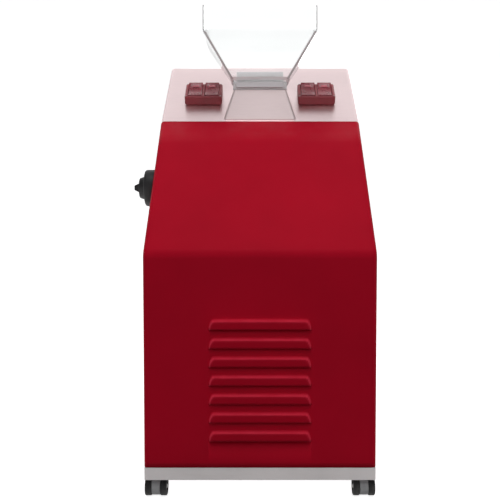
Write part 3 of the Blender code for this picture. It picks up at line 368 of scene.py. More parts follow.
def modify(obj, kind, **values):
    made = obj.modifiers.new(kind.lower(), kind)
    for key, value in values.items():
        setattr(made, key, value)
    return made


def carve(obj, *cutters):
    """Cuts each cutter out of the piece, and removes the cutters."""
    for cutter in cutters:
        modify(obj, "BOOLEAN", operation="DIFFERENCE", solver="EXACT", object=cutter)
    apply_all(obj)
    for cutter in cutters:
        bpy.data.objects.remove(cutter)
    return obj


def bevelled(obj, width, segments=3, angle=35, shade_angle=45):
    """Rounds every sharp edge, in the mesh itself."""
    work = bmesh.new()
    work.from_mesh(obj.data)
    bmesh.ops.remove_doubles(work, verts=work.verts, dist=2e-5)
    bmesh.ops.dissolve_limit(work, angle_limit=math.radians(0.6), verts=work.verts, edges=work.edges)
    sharp = [e for e in work.edges if len(e.link_faces) == 2 and e.calc_face_angle(0) > math.radians(angle)]
    bmesh.ops.bevel(work, geom=sharp, offset=width, segments=segments, profile=0.5, affect="EDGES",
                    clamp_overlap=True)
    work.to_mesh(obj.data)
    work.free()
    shade(obj, shade_angle)
    modify(obj, "WEIGHTED_NORMAL", keep_sharp=True)
    return obj


def own(obj, body, replaces=()):
    """Says which body the piece rides on and the nodes it stands for."""
    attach(obj, body)
    if replaces:
        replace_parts(obj, *replaces)
    return obj


def refined(node, width=0.0006, segments=2, material=None, angle=35):
    """A CAD solid with its edges rounded and its flats joined, standing for the node."""
    mesh = NODES[node].data.copy()
    obj = bpy.data.objects.new("v_" + node, mesh)
    bpy.context.scene.collection.objects.link(obj)
    mesh.materials.clear()
    mesh.materials.append(material or LOOK[SLOTS[node]])
    bevelled(obj, width, segments, angle)
    return own(obj, OWNER[node], [node])


def block(name, low, high, material, bevel=0.0006, at=AT, turn=None):
    """A box between two corners with rounded edges, turned afterwards if asked."""
    work = bmesh.new()
    low, high = Vector(low), Vector(high)
    size = Matrix.Translation((low + high) / 2) @ Matrix.Diagonal((*(high - low), 1.0))
    bmesh.ops.create_cube(work, size=1.0, matrix=size)
    if bevel:
        bmesh.ops.bevel(work, geom=work.edges[:], offset=bevel, segments=3, profile=0.5, affect="EDGES",
                        clamp_overlap=True)
    if turn:
        bmesh.ops.transform(work, matrix=turn, verts=work.verts)
    return from_bmesh(name, work, material, at=at)


AXES = {"x": Euler((0, math.pi / 2, 0)), "y": Euler((-math.pi / 2, 0, 0)), "z": Euler((0, 0, 0)),
        "-x": Euler((0, -math.pi / 2, 0)), "-y": Euler((math.pi / 2, 0, 0)), "-z": Euler((math.pi, 0, 0))}


def turn_to(centre, axis):
    """Stands a shape made round +Z on the axis through centre."""
    return Matrix.Translation(centre) @ AXES[axis].to_matrix().to_4x4()


def lathe_into(work, profile, turn, steps=48):
    """Adds a turned shape: (radius, height) pairs, round +Z before the turn."""
    rings = []
    for radius, height in profile:
        if radius < 1e-7:
            rings.append([work.verts.new(turn @ Vector((0, 0, height)))])
            continue
        rings.append([work.verts.new(turn @ Vector((radius * math.cos(a), radius * math.sin(a), height)))
                      for a in (2 * math.pi * k / steps for k in range(steps))])
    for low, high in zip(rings, rings[1:]):
        for k in range(steps):
            corners = [low[k % len(low)], low[(k + 1) % len(low)],
                       high[(k + 1) % len(high)], high[k % len(high)]]
            unique = list(dict.fromkeys(corners))
            if len(unique) > 2:
                work.faces.new(unique)


def lathe(name, profile, centre, axis, material, steps=48, at=AT):
    """A turned piece on the axis through centre."""
    work = bmesh.new()
    lathe_into(work, profile, turn_to(Vector(centre), axis), steps)
    return from_bmesh(name, work, material, 32, at)


def joined(name, objects):
    """One piece from several made here, with their modifiers applied."""
    work = bmesh.new()
    slots = []
    for obj in objects:
        bpy.context.view_layer.update()
        graph = bpy.context.evaluated_depsgraph_get()
        mesh = bpy.data.meshes.new_from_object(obj.evaluated_get(graph))
        mesh.transform(Matrix.Translation(-AT) @ obj.matrix_world)
        start = len(work.faces)
        work.from_mesh(mesh)
        work.faces.ensure_lookup_table()
        finish = mesh.materials[0]
        if finish not in slots:
            slots.append(finish)
        for face in work.faces[start:]:
            face.material_index = slots.index(finish)
        bpy.data.meshes.remove(mesh)
    mesh = bpy.data.meshes.new(name)
    work.to_mesh(mesh)
    work.free()
    for finish in slots:
        mesh.materials.append(finish)
    for obj in objects:
        bpy.data.objects.remove(obj)
    made = bpy.data.objects.new(name, mesh)
    made.location = AT
    bpy.context.scene.collection.objects.link(made)
    shade(made, 38)
    return made


# ------------------------------------------------------------- folded sheets
def bend_path(points, radii, before=None, after=None, arc_steps=18, straight=6):
    """(place, inward) pairs along a bent line in Y and Z, with extra stations on the straights."""
    ends = [before] + points + [after]
    corners = []
    for index, (point, radius) in enumerate(zip(points, radii)):
        last, nxt = ends[index], ends[index + 2]
        into = (point - last).normalized() if last else (nxt - point).normalized()
        out = (nxt - point).normalized() if nxt else into
        into_n, out_n = Vector((into.y, -into.x)), Vector((out.y, -out.x))
        turn = into.angle(out) if into.dot(out) < 1 - 1e-9 else 0.0
        if radius == 0 or turn == 0:
            middle = (into_n + out_n).normalized()
            corners.append([(point, middle / middle.dot(into_n))])
            continue
        centre = point - into * radius * math.tan(turn / 2) + into_n * radius
        arc = []
        for step in range(arc_steps + 1):
            normal = into_n.copy()
            normal.rotate(Matrix.Rotation(-turn * step / arc_steps, 2))
            arc.append((centre - normal * radius, normal))
        corners.append(arc)
    stations = list(corners[0])
    for corner in corners[1:]:
        (start, start_n), (end, end_n) = stations[-1], corner[0]
        for step in range(1, straight):
            share = step / straight
            stations.append((start.lerp(end, share), start_n.lerp(end_n, share)))
        stations.extend(corner)
    return stations


def panel_section(columns, arc_steps=8):
    """(x, depth) pairs across a panel: the flange, the rounded corner, the face, and back."""
    half = [(-HALF_W, FLANGE), (-HALF_W, (FLANGE + CORNER_R) / 2)]
    for step in range(arc_steps + 1):
        angle = math.pi / 2 * step / arc_steps
        half.append((-HALF_W + CORNER_R * (1 - math.cos(angle)), CORNER_R * (1 - math.sin(angle))))
    middle = sorted(x for x in columns if abs(x) < HALF_W - CORNER_R - 0.001)
    return half + [(x, 0.0) for x in middle] + [(-x, depth) for x, depth in reversed(half)]


def across(work, section, spot, inward):
    """One row of a folded panel at a station of its path."""
    return [work.verts.new((x, spot.x + inward.x * depth, spot.y + inward.y * depth)) for x, depth in section]


def folded(name, work, material, thickness):
    """The sheet's outer skin as a piece, facing out, with its thickness to follow."""
    obj = from_bmesh(name, work, material, 60)
    if obj.data.polygons[0].normal.y > 0:
        obj.data.flip_normals()
    modify(obj, "SOLIDIFY", thickness=thickness, offset=-1.0, use_even_offset=True)
    return obj


# ------------------------------------------------------------- louvred front
# Where the mesh lines run: along a louvre's end, up its height, and across the plain sheet.
END_STEPS = (0.0, 0.3, 0.55, 0.68, 0.73, 0.78, 0.82, 0.86, 0.90, 0.94, 0.97, 1.0)
RISE_STEPS = (0.0, 0.18, 0.36, 0.54, 0.66, 0.71, 0.75, 0.79, 0.83, 0.87, 0.91, 0.95, 0.98, 1.0)
PLAIN_COLUMNS = (0.02, 0.04, 0.06, 0.075, 0.125, 0.155, 0.19, 0.225)
PLAIN_LEVELS = (0.42, 0.45, 0.48)
EDGE_FROM = 0.70


def louvre_reach(x, rise):
    """0 at the middle of a louvre's lip and 1 on its outline, after how far x is into its end."""
    along = max(0.0, (abs(x) - (LOUVRE_LENGTH / 2 - LOUVRE_END)) / LOUVRE_END)
    return along, math.hypot(along, rise / LOUVRE_HEIGHT)


def louvre_highlight_share(x, rise):
    """How much painted highlight a louvre gets: along its upper ridge, and most of all round its ends."""
    along, reach = louvre_reach(x, rise)
    return (0.5 + 0.5 * min(1.0, along * 2.0)) * math.exp(-((reach - 0.80) / 0.11) ** 2)


def louvre_height(x, rise):
    """How far the sheet is pressed out at x along a louvre and at a height above its lip."""
    reach = louvre_reach(x, rise)[1]
    if reach >= 1:
        return 0.0
    lean = 0.76 + 0.24 * min(1.0, rise / (EDGE_FROM * LOUVRE_HEIGHT))
    share = max(0.0, (reach - EDGE_FROM) / (1 - EDGE_FROM))
    return LOUVRE_OUT * lean * (1 - share * share * (3 - 2 * share))


def louvre_levels():
    """(height, rise above the lip) for each row; a rise of None starts a louvre's open slit."""
    levels = [(BODY_Z, 0.0), (BODY_Z + 0.012, 0.0)]
    for index in reversed(range(LOUVRES)):
        lip = LOUVRE_FIRST - index * LOUVRE_PITCH
        levels.append((lip, None))
        levels += [(lip + share * LOUVRE_HEIGHT, share * LOUVRE_HEIGHT) for share in RISE_STEPS]
        levels.append((lip + LOUVRE_HEIGHT * 1.35, 0.0))
    return levels + [(z, 0.0) for z in PLAIN_LEVELS]


def in_louvre(z):
    lips = [LOUVRE_FIRST - index * LOUVRE_PITCH for index in range(LOUVRES)]
    return any(lip - 1e-6 <= z <= lip + LOUVRE_HEIGHT + 1e-6 for lip in lips)


def louvred_rows(work, section):
    """The front face's rows, pressed out at the louvres, each with whether a slit starts there."""
    # Each vertex carries its share of the painted highlight on its louvre's ridge.
    ridge_highlight = work.verts.layers.float.new("ridge_highlight")
    rows = []
    for z, rise in louvre_levels():
        row = []
        for x, depth in section:
            pressed = depth == 0.0 and rise is not None and in_louvre(z)
            out = louvre_height(x, rise) if pressed else 0.0
            vert = work.verts.new((x, FRONT + depth - out, z))
            vert[ridge_highlight] = louvre_highlight_share(x, rise) if pressed else 0.0
            row.append(vert)
        rows.append((row, rise is None))
    return rows


def over_slit(section, k):
    middle = abs(section[k][0] + section[k + 1][0]) / 2
    return middle < LOUVRE_LENGTH / 2 and section[k][1] == 0.0


def front_panel():
    ends = [LOUVRE_LENGTH / 2 - LOUVRE_END * (1 - step) for step in END_STEPS]
    columns = {side * x for x in [0.0, *ends, *PLAIN_COLUMNS] for side in (-1, 1)}
    section = panel_section(columns)
    work = bmesh.new()
    rows = louvred_rows(work, section)
    slope_end = SLOPE_TOP - (SLOPE_TOP - FOLD).normalized() * JOINT_GAP
    fold = bend_path([Vector((FRONT, PLAIN_LEVELS[-1])), FOLD, slope_end], [0, FOLD_R, 0], after=DECK_TOP,
                     arc_steps=20, straight=5)
    rows += [(across(work, section, spot, inward), False) for spot, inward in fold[1:]]
    for (low, slit), (high, _) in zip(rows, rows[1:]):
        for k in range(len(section) - 1):
            flat = max((low[i].co - high[i].co).length for i in (k, k + 1)) <= 1e-6
            if not slit or not (over_slit(section, k) or flat):
                work.faces.new((low[k], low[k + 1], high[k + 1], high[k]))
    bmesh.ops.remove_doubles(work, verts=work.verts, dist=1e-5)
    obj = folded("front_sheet", work, EXTRA["louvred"], THIN_SHEET)
    return own(obj, "cabinet", ["front_panel"])


# ------------------------------------------------------------- deck and sides
def deck_panel():
    start = SLOPE_TOP + (DECK_TOP - SLOPE_TOP).normalized() * JOINT_GAP
    high = place("deck_panel")[1]
    path = bend_path([start, DECK_TOP, Vector((high.y, DECK_TOP.y))], [0, TOP_R, 0], before=FOLD, straight=5)
    section = panel_section([x / 100 for x in range(-22, 23, 4)])
    work = bmesh.new()
    rows = [across(work, section, spot, inward) for spot, inward in path]
    for low_row, high_row in zip(rows, rows[1:]):
        for k in range(len(section) - 1):
            work.faces.new((low_row[k], low_row[k + 1], high_row[k + 1], high_row[k]))
    obj = folded("deck_sheet", work, LOOK["brushed_steel"], SHEET)
    throat = block("throat_cut", (-0.058, NECK_Y - 0.036, 0.80), (0.058, NECK_Y + 0.030, 1.0),
                   EXTRA["dark"], 0.004)
    carve(obj, throat)
    shade(obj, 40)
    return own(obj, "cabinet", ["deck_panel"])


def side_outline(reach):
    """The side panel's outline, its edge a reach inside the folded panels' outer face."""
    profile = [Vector((FRONT, BODY_Z)), FOLD, SLOPE_TOP, DECK_TOP, Vector((BACK, DECK_TOP.y))]
    path = bend_path(profile, [0, FOLD_R, 0, TOP_R, 0], straight=1)
    return [spot + inward * reach for spot, inward in path] + [Vector((BACK, BODY_Z))]


# The side panels' screws, as (y, z).
SIDE_SCREWS = [(-0.245, 0.110), (-0.245, 0.305), (-0.247, 0.500), (-0.130, 0.642), (0.012, 0.788),
               (0.135, 0.897),
               (0.262, 0.985), (0.262, 0.760), (0.262, 0.540), (0.262, 0.320), (0.262, 0.110), (0.010, 0.088)]

# Each head's profile: its reach as a share of the radius, and its height above the sheet.
FLUSH_HEAD = [(0, -0.003), (0.5, -0.003), (0.97, -0.0004), (1, -0.0002), (0.96, -0.00005), (0, -0.00002)]
PAN_HEAD = [(0, -0.0004), (1, -0.0004), (1, 0.0007), (0.93, 0.0013), (0.7, 0.0019), (0.35, 0.0022), (0, 0.0023)]
SINK = [(0, -0.01), (0.0020, -0.01), (0.0022, -0.0025), (0.0045, 0.0), (0.0047, 0.001), (0, 0.001)]
SHAFT_BORE = [(0, -0.02), (0.007, -0.02), (0.007, 0.02), (0, 0.02)]


def screw(at, axis, radius=0.0042, profile=FLUSH_HEAD):
    """A cross-head screw, flush or domed, as the head with its slot pressed in."""
    head = lathe("screw", [(reach * radius, height) for reach, height in profile], (0, 0, 0), "z",
                 EXTRA["screw"], 20, Vector())
    top = profile[-1][1]
    arms = [block("arm", (-radius * 0.55, -0.0005, top - 0.0012), (radius * 0.55, 0.0005, top + 0.001),
                  EXTRA["dark"], 0, at=Vector(), turn=Matrix.Rotation(turn, 4, "Z"))
            for turn in (0.6, 0.6 + math.pi / 2)]
    carve(head, *arms)
    head.rotation_euler = AXES[axis]
    head.location = AT + Vector(at)
    return head


def side_sheet(name, side):
    """A flat side panel on one side of the cabinet, before its holes."""
    work = bmesh.new()
    face = work.faces.new([work.verts.new((side * HALF_W, p.x, p.y)) for p in side_outline(FLANGE + GAP)])
    made = bmesh.ops.extrude_face_region(work, geom=[face])
    moved = [g for g in made["geom"] if isinstance(g, bmesh.types.BMVert)]
    bmesh.ops.translate(work, vec=(-side * SHEET, 0, 0), verts=moved)
    return from_bmesh(name + "_sheet", work, LOOK["red_paint"], 40)


def side_panels():
    for name, side, axis in (("side_panel_left", -1, "-x"), ("side_panel_right", 1, "x")):
        spots = [(side * HALF_W, y, z) for y, z in SIDE_SCREWS]
        cutters = [lathe("sink", SINK, spot, axis, EXTRA["dark"], 24) for spot in spots]
        if side < 0:
            knob = pivot_of("knob_turn")
            cutters.append(lathe("bore", SHAFT_BORE, (-HALF_W, knob.y, knob.z), "x", EXTRA["dark"], 32))
        obj = carve(side_sheet(name, side), *cutters)
        bevelled(obj, 0.0004, 2, 50)
        own(obj, "cabinet", [name])
        own(joined(name + "_screws", [screw(spot, axis) for spot in spots]), "cabinet")


def rear_screws():
    """Domed screws down both edges of the rear panel, and two in each hinge's fixed leaf."""
    rear = place("rear_panel")[1].y
    heads = [screw((side * 0.238, rear, 0.095 + 0.179 * k), "y", 0.0042, PAN_HEAD)
             for side in (-1, 1) for k in range(6)]
    own(joined("rear_panel_screws", heads), "cabinet")
    for name in ("door_hinge_lower", "door_hinge_upper"):
        low = place(name)[0]
        leaf, middle = low.y + 0.0020, low.z + 0.009
        heads = [screw((x, leaf, middle), "y", 0.0030, PAN_HEAD) for x in (0.2055, 0.2150)]
        own(joined(name + "_screws", heads), "cabinet")


# ------------------------------------------------------------- hopper
def frustum(work, low, high):
    """Adds the four walls between two rings of corners, and returns the corners."""
    bottom = [work.verts.new(p) for p in low]
    top = [work.verts.new(p) for p in high]
    for k in range(4):
        work.faces.new((bottom[k], bottom[(k + 1) % 4], top[(k + 1) % 4], top[k]))
    return bottom, top


def ring(half_x, low_y, high_y, z):
    return [Vector((-half_x, low_y, z)), Vector((half_x, low_y, z)), Vector((half_x, high_y, z)),
            Vector((-half_x, high_y, z))]


def hopper_ring(z, out=0.0):
    """The hopper's outside at a height, or a ring that far out from it."""
    share = min(1.0, (z - HOPPER_FOOT) / (HOPPER_FOLD - HOPPER_FOOT))
    spread = HOPPER_SPREAD * share + out
    return ring(NECK_HALF_X + spread, NECK_Y - NECK_HALF_Y - spread, NECK_Y + NECK_HALF_Y + spread, z)


def hopper():
    """The clear taper and collar, folded and glued from sheet, with rounded corners."""
    work = bmesh.new()
    levels = (HOPPER_FOOT + JOINT_GAP, HOPPER_FOLD, HOPPER_RIM)
    rings = [[work.verts.new(p) for p in hopper_ring(z)] for z in levels]
    for low, high in zip(rings, rings[1:]):
        for k in range(4):
            work.faces.new((low[k], low[(k + 1) % 4], high[(k + 1) % 4], high[k]))
    upright = [e for e in work.edges if abs(e.verts[0].co.z - e.verts[1].co.z) > 0.01]
    bmesh.ops.bevel(work, geom=upright, offset=0.004, segments=4, profile=0.5, affect="EDGES")
    fold = [e for e in work.edges if all(abs(v.co.z - HOPPER_FOLD) < 1e-4 for v in e.verts)]
    bmesh.ops.bevel(work, geom=fold, offset=0.004, segments=4, profile=0.5, affect="EDGES")
    obj = from_bmesh("hopper_clear", work, LOOK["clear_plastic"], 50)
    modify(obj, "SOLIDIFY", thickness=HOPPER_SHEET, offset=-1.0, use_even_offset=True)
    apply_all(obj)
    shade(obj, 35)
    own(obj, "cabinet", ["hopper_shell"])
    hopper_straps()
    hopper_hem()


def strip(work, start, end, side_a, side_b, width=0.0050, thick=0.0009, lift=0.0004):
    """Adds a folded angle strip along a corner: two wings that lie on the two walls."""
    for wing in (side_a, side_b):
        other = side_b if wing is side_a else side_a
        along = (end - start).normalized()
        face_n = along.cross(wing).normalized()
        if face_n.dot(other) > 0:
            face_n = -face_n
        corners = []
        for spot in (start, end):
            for reach, rise in ((0.0, 0.0), (width, 0.0), (width, thick), (-thick * 0.6, thick)):
                corners.append(spot + wing * reach + face_n * (lift + rise))
        verts = [work.verts.new(c) for c in corners]
        for a, b, c, d in ((0, 1, 2, 3), (7, 6, 5, 4), (0, 4, 5, 1), (1, 5, 6, 2), (2, 6, 7, 3), (3, 7, 4, 0)):
            work.faces.new((verts[a], verts[b], verts[c], verts[d]))


def hopper_straps():
    """The grey straps on the taper's two front corners."""
    work = bmesh.new()
    low, high = hopper_ring(0.9545), hopper_ring(1.0585)
    for k in (0, 1):
        nxt, prev = low[(k + 1) % 4], low[(k - 1) % 4]
        strip(work, low[k], high[k], (nxt - low[k]).normalized(), (prev - low[k]).normalized())
    obj = from_bmesh("hopper_straps", work, EXTRA["strap"], 30)
    bevelled(obj, 0.0003, 2, 60)
    own(obj, "cabinet", ["hopper_frame"])


def hopper_hem():
    """The band round the taper's foot."""
    work = bmesh.new()
    outer, inner = ([hopper_ring(z, out) for z in (0.9512, 0.9600)] for out in (0.0013, 0.0003))
    frustum(work, *outer)
    frustum(work, *inner)
    for a, b in zip(outer, inner):
        for k in range(4):
            quad = [a[k], a[(k + 1) % 4], b[(k + 1) % 4], b[k]]
            work.faces.new([work.verts.new(p) for p in quad])
    bmesh.ops.remove_doubles(work, verts=work.verts, dist=1e-6)
    hem = from_bmesh("hopper_hem", work, EXTRA["hem"], 30)
    bevelled(hem, 0.0003, 2, 40)
    own(hem, "cabinet")


# The boot's foot on the deck, as (x, y), how far it lies above it, and the height of its top.
BOOT_FOOT = [(-0.0920, 0.0305), (0.0920, 0.0305), (0.0705, NECK_Y + 0.047), (-0.0705, NECK_Y + 0.047)]
BOOT_LIFT, BOOT_TOP = 0.0012, 0.9284


def boot():
    """The flared skirt, folded from one sheet with its two front corners rounded."""
    slope = math.tan(DECK_ANGLE)
    work = bmesh.new()
    low = [Vector((x, y, SLOPE_TOP.y + (y - SLOPE_TOP.x) * slope + BOOT_LIFT)) for x, y in BOOT_FOOT]
    high = ring(NECK_HALF_X - 0.0005, NECK_Y - NECK_HALF_Y + 0.0005, NECK_Y + NECK_HALF_Y - 0.0005, BOOT_TOP)
    bottom, top = frustum(work, low, high)
    upright = [e for e in work.edges if abs(e.verts[0].co.z - e.verts[1].co.z) > 0.02 and
               set(e.verts) & set(bottom) and set(e.verts) & set(top)]
    bmesh.ops.bevel(work, geom=upright, offset=0.006, segments=5, profile=0.5, affect="EDGES")
    obj = from_bmesh("boot_sheet", work, EXTRA["boot"], 50)
    modify(obj, "SOLIDIFY", thickness=THIN_SHEET, offset=-1.0, use_even_offset=True)
    apply_all(obj)
    shade(obj, 40)
    return own(obj, "cabinet", ["hopper_boot"])


# ------------------------------------------------------------- switches
LIE = Euler((DECK_ANGLE, 0, 0)).to_matrix()
BOX_TOP, PIVOT_UP = 0.0260, 0.0225
BOX_SCREW_X, BOX_SCREW_Y = 0.0442, 0.0312
CAP_WIDTH, CAP_LENGTH, CAP_ROWS, CAP_EDGE, CAP_SKIRT, CAP_TILT = 0.036, 0.054, 25, 0.0018, -0.0078, 8
CAP_HALF = [0.008, CAP_WIDTH / 2 - CAP_EDGE, CAP_WIDTH / 2 - CAP_EDGE / 3, CAP_WIDTH / 2]
CAP_COLUMNS = [-x for x in reversed(CAP_HALF)] + [0.0] + CAP_HALF
LENS_AT = Vector((0, 0.0155, 0.0048))


def cap_height(x, along):
    """The cap's face over its pivot, at x across it and from -1 to 1 along it."""
    face = 0.0030 + 0.0053 * along * along
    if -0.86 < along < -0.52:
        face += 0.0005 * math.sin((along + 0.86) / 0.34 * math.pi * 6)
    edge = max(0.0, abs(along) - 0.95) / 0.05
    side = max(0.0, abs(x) - (CAP_WIDTH / 2 - CAP_EDGE)) / CAP_EDGE
    return face - 0.0008 * edge * edge - 0.0010 * side * side


def rocker(name, centre):
    """A see-saw cap: a dished face, finger ridges at one end and a lens at the other."""
    work = bmesh.new()
    places = [-1 + 2 * row / (CAP_ROWS - 1) for row in range(CAP_ROWS)]
    grid = [[work.verts.new((x, along * CAP_LENGTH / 2, cap_height(x, along))) for x in CAP_COLUMNS]
            for along in places]
    for a, b in zip(grid, grid[1:]):
        for k in range(len(CAP_COLUMNS) - 1):
            work.faces.new((a[k], a[k + 1], b[k + 1], b[k]))
    made = bmesh.ops.extrude_edge_only(work, edges=[e for e in work.edges if e.is_boundary])
    for vert in (g for g in made["geom"] if isinstance(g, bmesh.types.BMVert)):
        vert.co.z = CAP_SKIRT
    bmesh.ops.holes_fill(work, edges=[e for e in work.edges if e.is_boundary])
    turn = Matrix.Translation(centre) @ LIE.to_4x4() @ Matrix.Rotation(math.radians(CAP_TILT), 4, "X")
    bmesh.ops.transform(work, matrix=turn, verts=work.verts)
    cap = from_bmesh(name + "_cap", work, LOOK["switch_red"], 50)
    lens = block("lens", (-0.0085, -0.0045, -0.0015), (0.0085, 0.0045, 0.0010), EXTRA["lamp"], 0.0007,
                 turn=turn @ Matrix.Translation(LENS_AT))
    return joined(name + "_cap", [cap, lens])


def switches():
    for side in ("left", "right"):
        refined(f"switch_box_{side}", 0.0010, 3)
        pivots = {f"rocker_{side}_{end}": pivot_of(f"rocker_{side}_{end}_press") for end in ("inner", "outer")}
        for node, pivot in pivots.items():
            own(rocker(node, pivot), node, [node])
        middle = sum(pivots.values(), Vector()) / 2
        heads = []
        for dx in (-BOX_SCREW_X, BOX_SCREW_X):
            for dy in (-BOX_SCREW_Y, BOX_SCREW_Y):
                head = screw(middle + LIE @ Vector((dx, dy, BOX_TOP - PIVOT_UP)), "z", 0.0020)
                head.rotation_euler = (DECK_ANGLE, 0, 0)
                heads.append(head)
        own(joined(f"switch_box_{side}_screws", heads), "cabinet")


# ------------------------------------------------------------- rotary switch
# Turned outlines, as (radius, how far out from the side).
DIAL = [(0.0070, 0.0), (0.0070, 0.0250), (0.0300, 0.0250), (0.0305, 0.0243), (0.0318, 0.0243), (0.0323, 0.0250),
        (0.0390, 0.0250), (0.0412, 0.0244), (0.0428, 0.0230), (0.0437, 0.0209), (0.0440, 0.0185),
        (0.0440, 0.0012), (0.0434, 0.0), (0.0405, 0.0), (0.0402, 0.0060), (0.0390, 0.0200), (0.0300, 0.0220),
        (0.0120, 0.0220), (0.0110, 0.0), (0.0070, 0.0)]
DISC = [(0.0, 0.0), (0.0268, 0.0), (0.0275, 0.0007), (0.0275, 0.0026), (0.0270, 0.0036), (0.0244, 0.0116),
        (0.0235, 0.0129), (0.0218, 0.0135), (0.0, 0.0135)]
SHAFT = [(0, -0.030), (0.0036, -0.030), (0.0040, -0.0295), (0.0040, 0.004), (0, 0.004)]


def fluted_disc(centre):
    """The knob's turning disc, with shallow flutes round its rim."""
    work = bmesh.new()
    turn = turn_to(centre, "-x")
    lathe_into(work, DISC, turn, GRIP_RIDGES * 4)
    inverse = turn.inverted()
    for vert in work.verts:
        spot = inverse @ vert.co
        if 0.0030 < spot.z < 0.0124 and math.hypot(spot.x, spot.y) > 0.02:
            wave = math.cos(math.atan2(spot.y, spot.x) * GRIP_RIDGES)
            scale = 1 - 0.016 * max(0.0, wave)
            vert.co = turn @ Vector((spot.x * scale, spot.y * scale, spot.z))
    return from_bmesh("knob_body", work, LOOK["black_plastic"], 40)


def knob_grip(centre, tip):
    """The bar across the disc, narrower at its tip."""
    work = bmesh.new()
    bmesh.ops.create_cube(work, size=1.0)
    for vert in work.verts:
        out = vert.co.x < 0
        half_y, half_z = (0.0195, 0.0055) if out else (0.0215, 0.0110)
        vert.co = Vector((tip if out else centre.x - DISC_OUT, centre.y + math.copysign(half_y, vert.co.y),
                          centre.z + math.copysign(half_z, vert.co.z)))
    bmesh.ops.bevel(work, geom=work.edges[:], offset=0.0022, segments=4, profile=0.5, affect="EDGES")
    return from_bmesh("knob_grip", work, LOOK["black_plastic"], 40)


def rotary():
    y, z = pivot_of("knob_turn").yz
    side = -HALF_W - GAP
    own(lathe("switch_base_moulding", DIAL, (side, y, z), "-x", LOOK["black_plastic"], 72), "cabinet",
        ["switch_base"])
    marks = []
    for angle in (0, math.pi / 2):
        turn = Matrix.Translation((side - DIAL_OUT + 0.0002, y, z)) @ Matrix.Rotation(angle, 4, "X")
        marks.append(block("mark", (-0.0004, -0.0375, -0.0012), (0.0006, -0.0335, 0.0012),
                           EXTRA["white"], 0.0002, turn=turn))
    own(joined("switch_marks", marks), "cabinet")

    centre = Vector((side - DIAL_OUT - GAP, y, z))
    tip = -HALF_W - GRIP_OUT
    pointer = block("pointer", (tip, y - 0.0175, z - 0.0009), (tip + 0.0012, y - 0.0060, z + 0.0009),
                    EXTRA["white"], 0.0002)
    shaft = lathe("shaft", SHAFT, centre, "-x", EXTRA["screw"], 24)
    pieces = [fluted_disc(centre), knob_grip(centre, tip), pointer, shaft]
    own(joined("knob", pieces), "rotary_knob", ["rotary_knob"])
    refined("rotary_switch_body", 0.0012, 3)


# ------------------------------------------------------------- castors
TYRE_R, RIM_R = 0.0200, 0.0150
GROOVES, GROOVE_HALF, GROOVE_DEPTH = (0.0046, 0.0070, 0.0094), 0.0008, 0.0004


def castors():
    for end in ("front", "rear"):
        for side in ("left", "right"):
            tag = f"castor_{end}_{side}"
            refined(tag + "_plate", 0.0005, 2)
            low, high = place(tag + "_wheels")
            wheel_pair(tag, (low + high) / 2, (high.x - low.x) / 2)
            refined(tag + "_fork", 0.0010, 3)


def tyre_outline(inner, outer):
    """A grooved tread from its inner side to its outer side, and back along the rim."""
    tread = []
    for groove in GROOVES:
        spot = inner + groove
        deep, half = TYRE_R - GROOVE_DEPTH, GROOVE_HALF
        tread += [(TYRE_R, spot - half), (deep, spot - 0.0003), (deep, spot + 0.0003), (TYRE_R, spot + half)]
    near = [(RIM_R, inner + 0.0004), (0.0185, inner), (0.0193, inner + 0.0006), (0.0199, inner + 0.0022)]
    far = [(0.0199, outer - 0.0026), (0.0192, outer - 0.0010), (0.0182, outer), (0.0160, outer),
           (0.0155, outer - 0.0006), (RIM_R, outer - 0.0030), (RIM_R, inner + 0.0004)]
    return near + tread + far


def wheel_pair(tag, centre, half):
    """Two treaded wheels with dished hubs on one axle."""
    inner = half - WHEEL_WIDE
    hub = [(0.0, inner + 0.0002), (0.0152, inner + 0.0002), (0.0152, half - 0.0030), (0.0140, half - 0.0038),
           (0.0080, half - 0.0050), (0.0060, half - 0.0022), (0.0050, half - 0.0012), (0.0, half - 0.0010)]
    cap = [(0.0, half - 0.0012), (0.0040, half - 0.0012), (0.0044, half - 0.0008), (0.0030, half - 0.0003),
           (0.0, half)]
    pieces = []
    for axis in ("x", "-x"):
        pieces.append(lathe("tyre", tyre_outline(inner, half), centre, axis, LOOK["black_rubber"], 64))
        pieces.append(lathe("hub", hub, centre, axis, LOOK["black_plastic"], 48))
        pieces.append(lathe("cap", cap, centre, axis, EXTRA["screw"], 32))
    axle = [(0, -half + 0.002), (0.0030, -half + 0.002), (0.0030, half - 0.002), (0, half - 0.002)]
    pieces.append(lathe("axle", axle, centre, "x", EXTRA["screw"], 24))
    own(joined(tag + "_rollers", pieces), tag + "_wheels", [tag + "_wheels"])


# ------------------------------------------------------------- every piece
def build():
    rear_screws()
    front_panel()
    deck_panel()
    side_panels()
    hopper()
    boot()
    switches()
    rotary()
    castors()
    refined("gate_blade", 0.0005, 3, EXTRA["gate"])
    refined("gate_housing", 0.0006, 2, EXTRA["neck"])
    done = {node for obj in bpy.context.scene.objects for node in list(obj.get("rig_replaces", []))}
    for node in sorted(set(NODES) - done):
        refined(node, material=EXTRA["tank"] if SLOTS[node] == "brushed_steel" else None)


# ------------------------------------------------------------- floor, light and camera
FLOOR_END, FLOOR_CURVE = 3.0, 2.0
# The camera: how far in front of the cabinet and how high it stands, how far it looks down, and its focal
# length in pixels of the 500 px wide frame.
CAMERA_BACK, CAMERA_UP, CAMERA_DOWN, FOCAL_PX, FRAME_PX, SENSOR = 1.542, 0.61, 2.68, 728, 500, 36.0


def stage_material(name, colour, glow):
    paint = Paint(name, colour, 0.9)
    paint.set("Emission Color", (1, 1, 1, 1))
    paint.set("Emission Strength", glow)
    paint.colours(paint.mix(paint.noise(2, 2), colour, tinted(colour, 0.98)))
    return paint.material


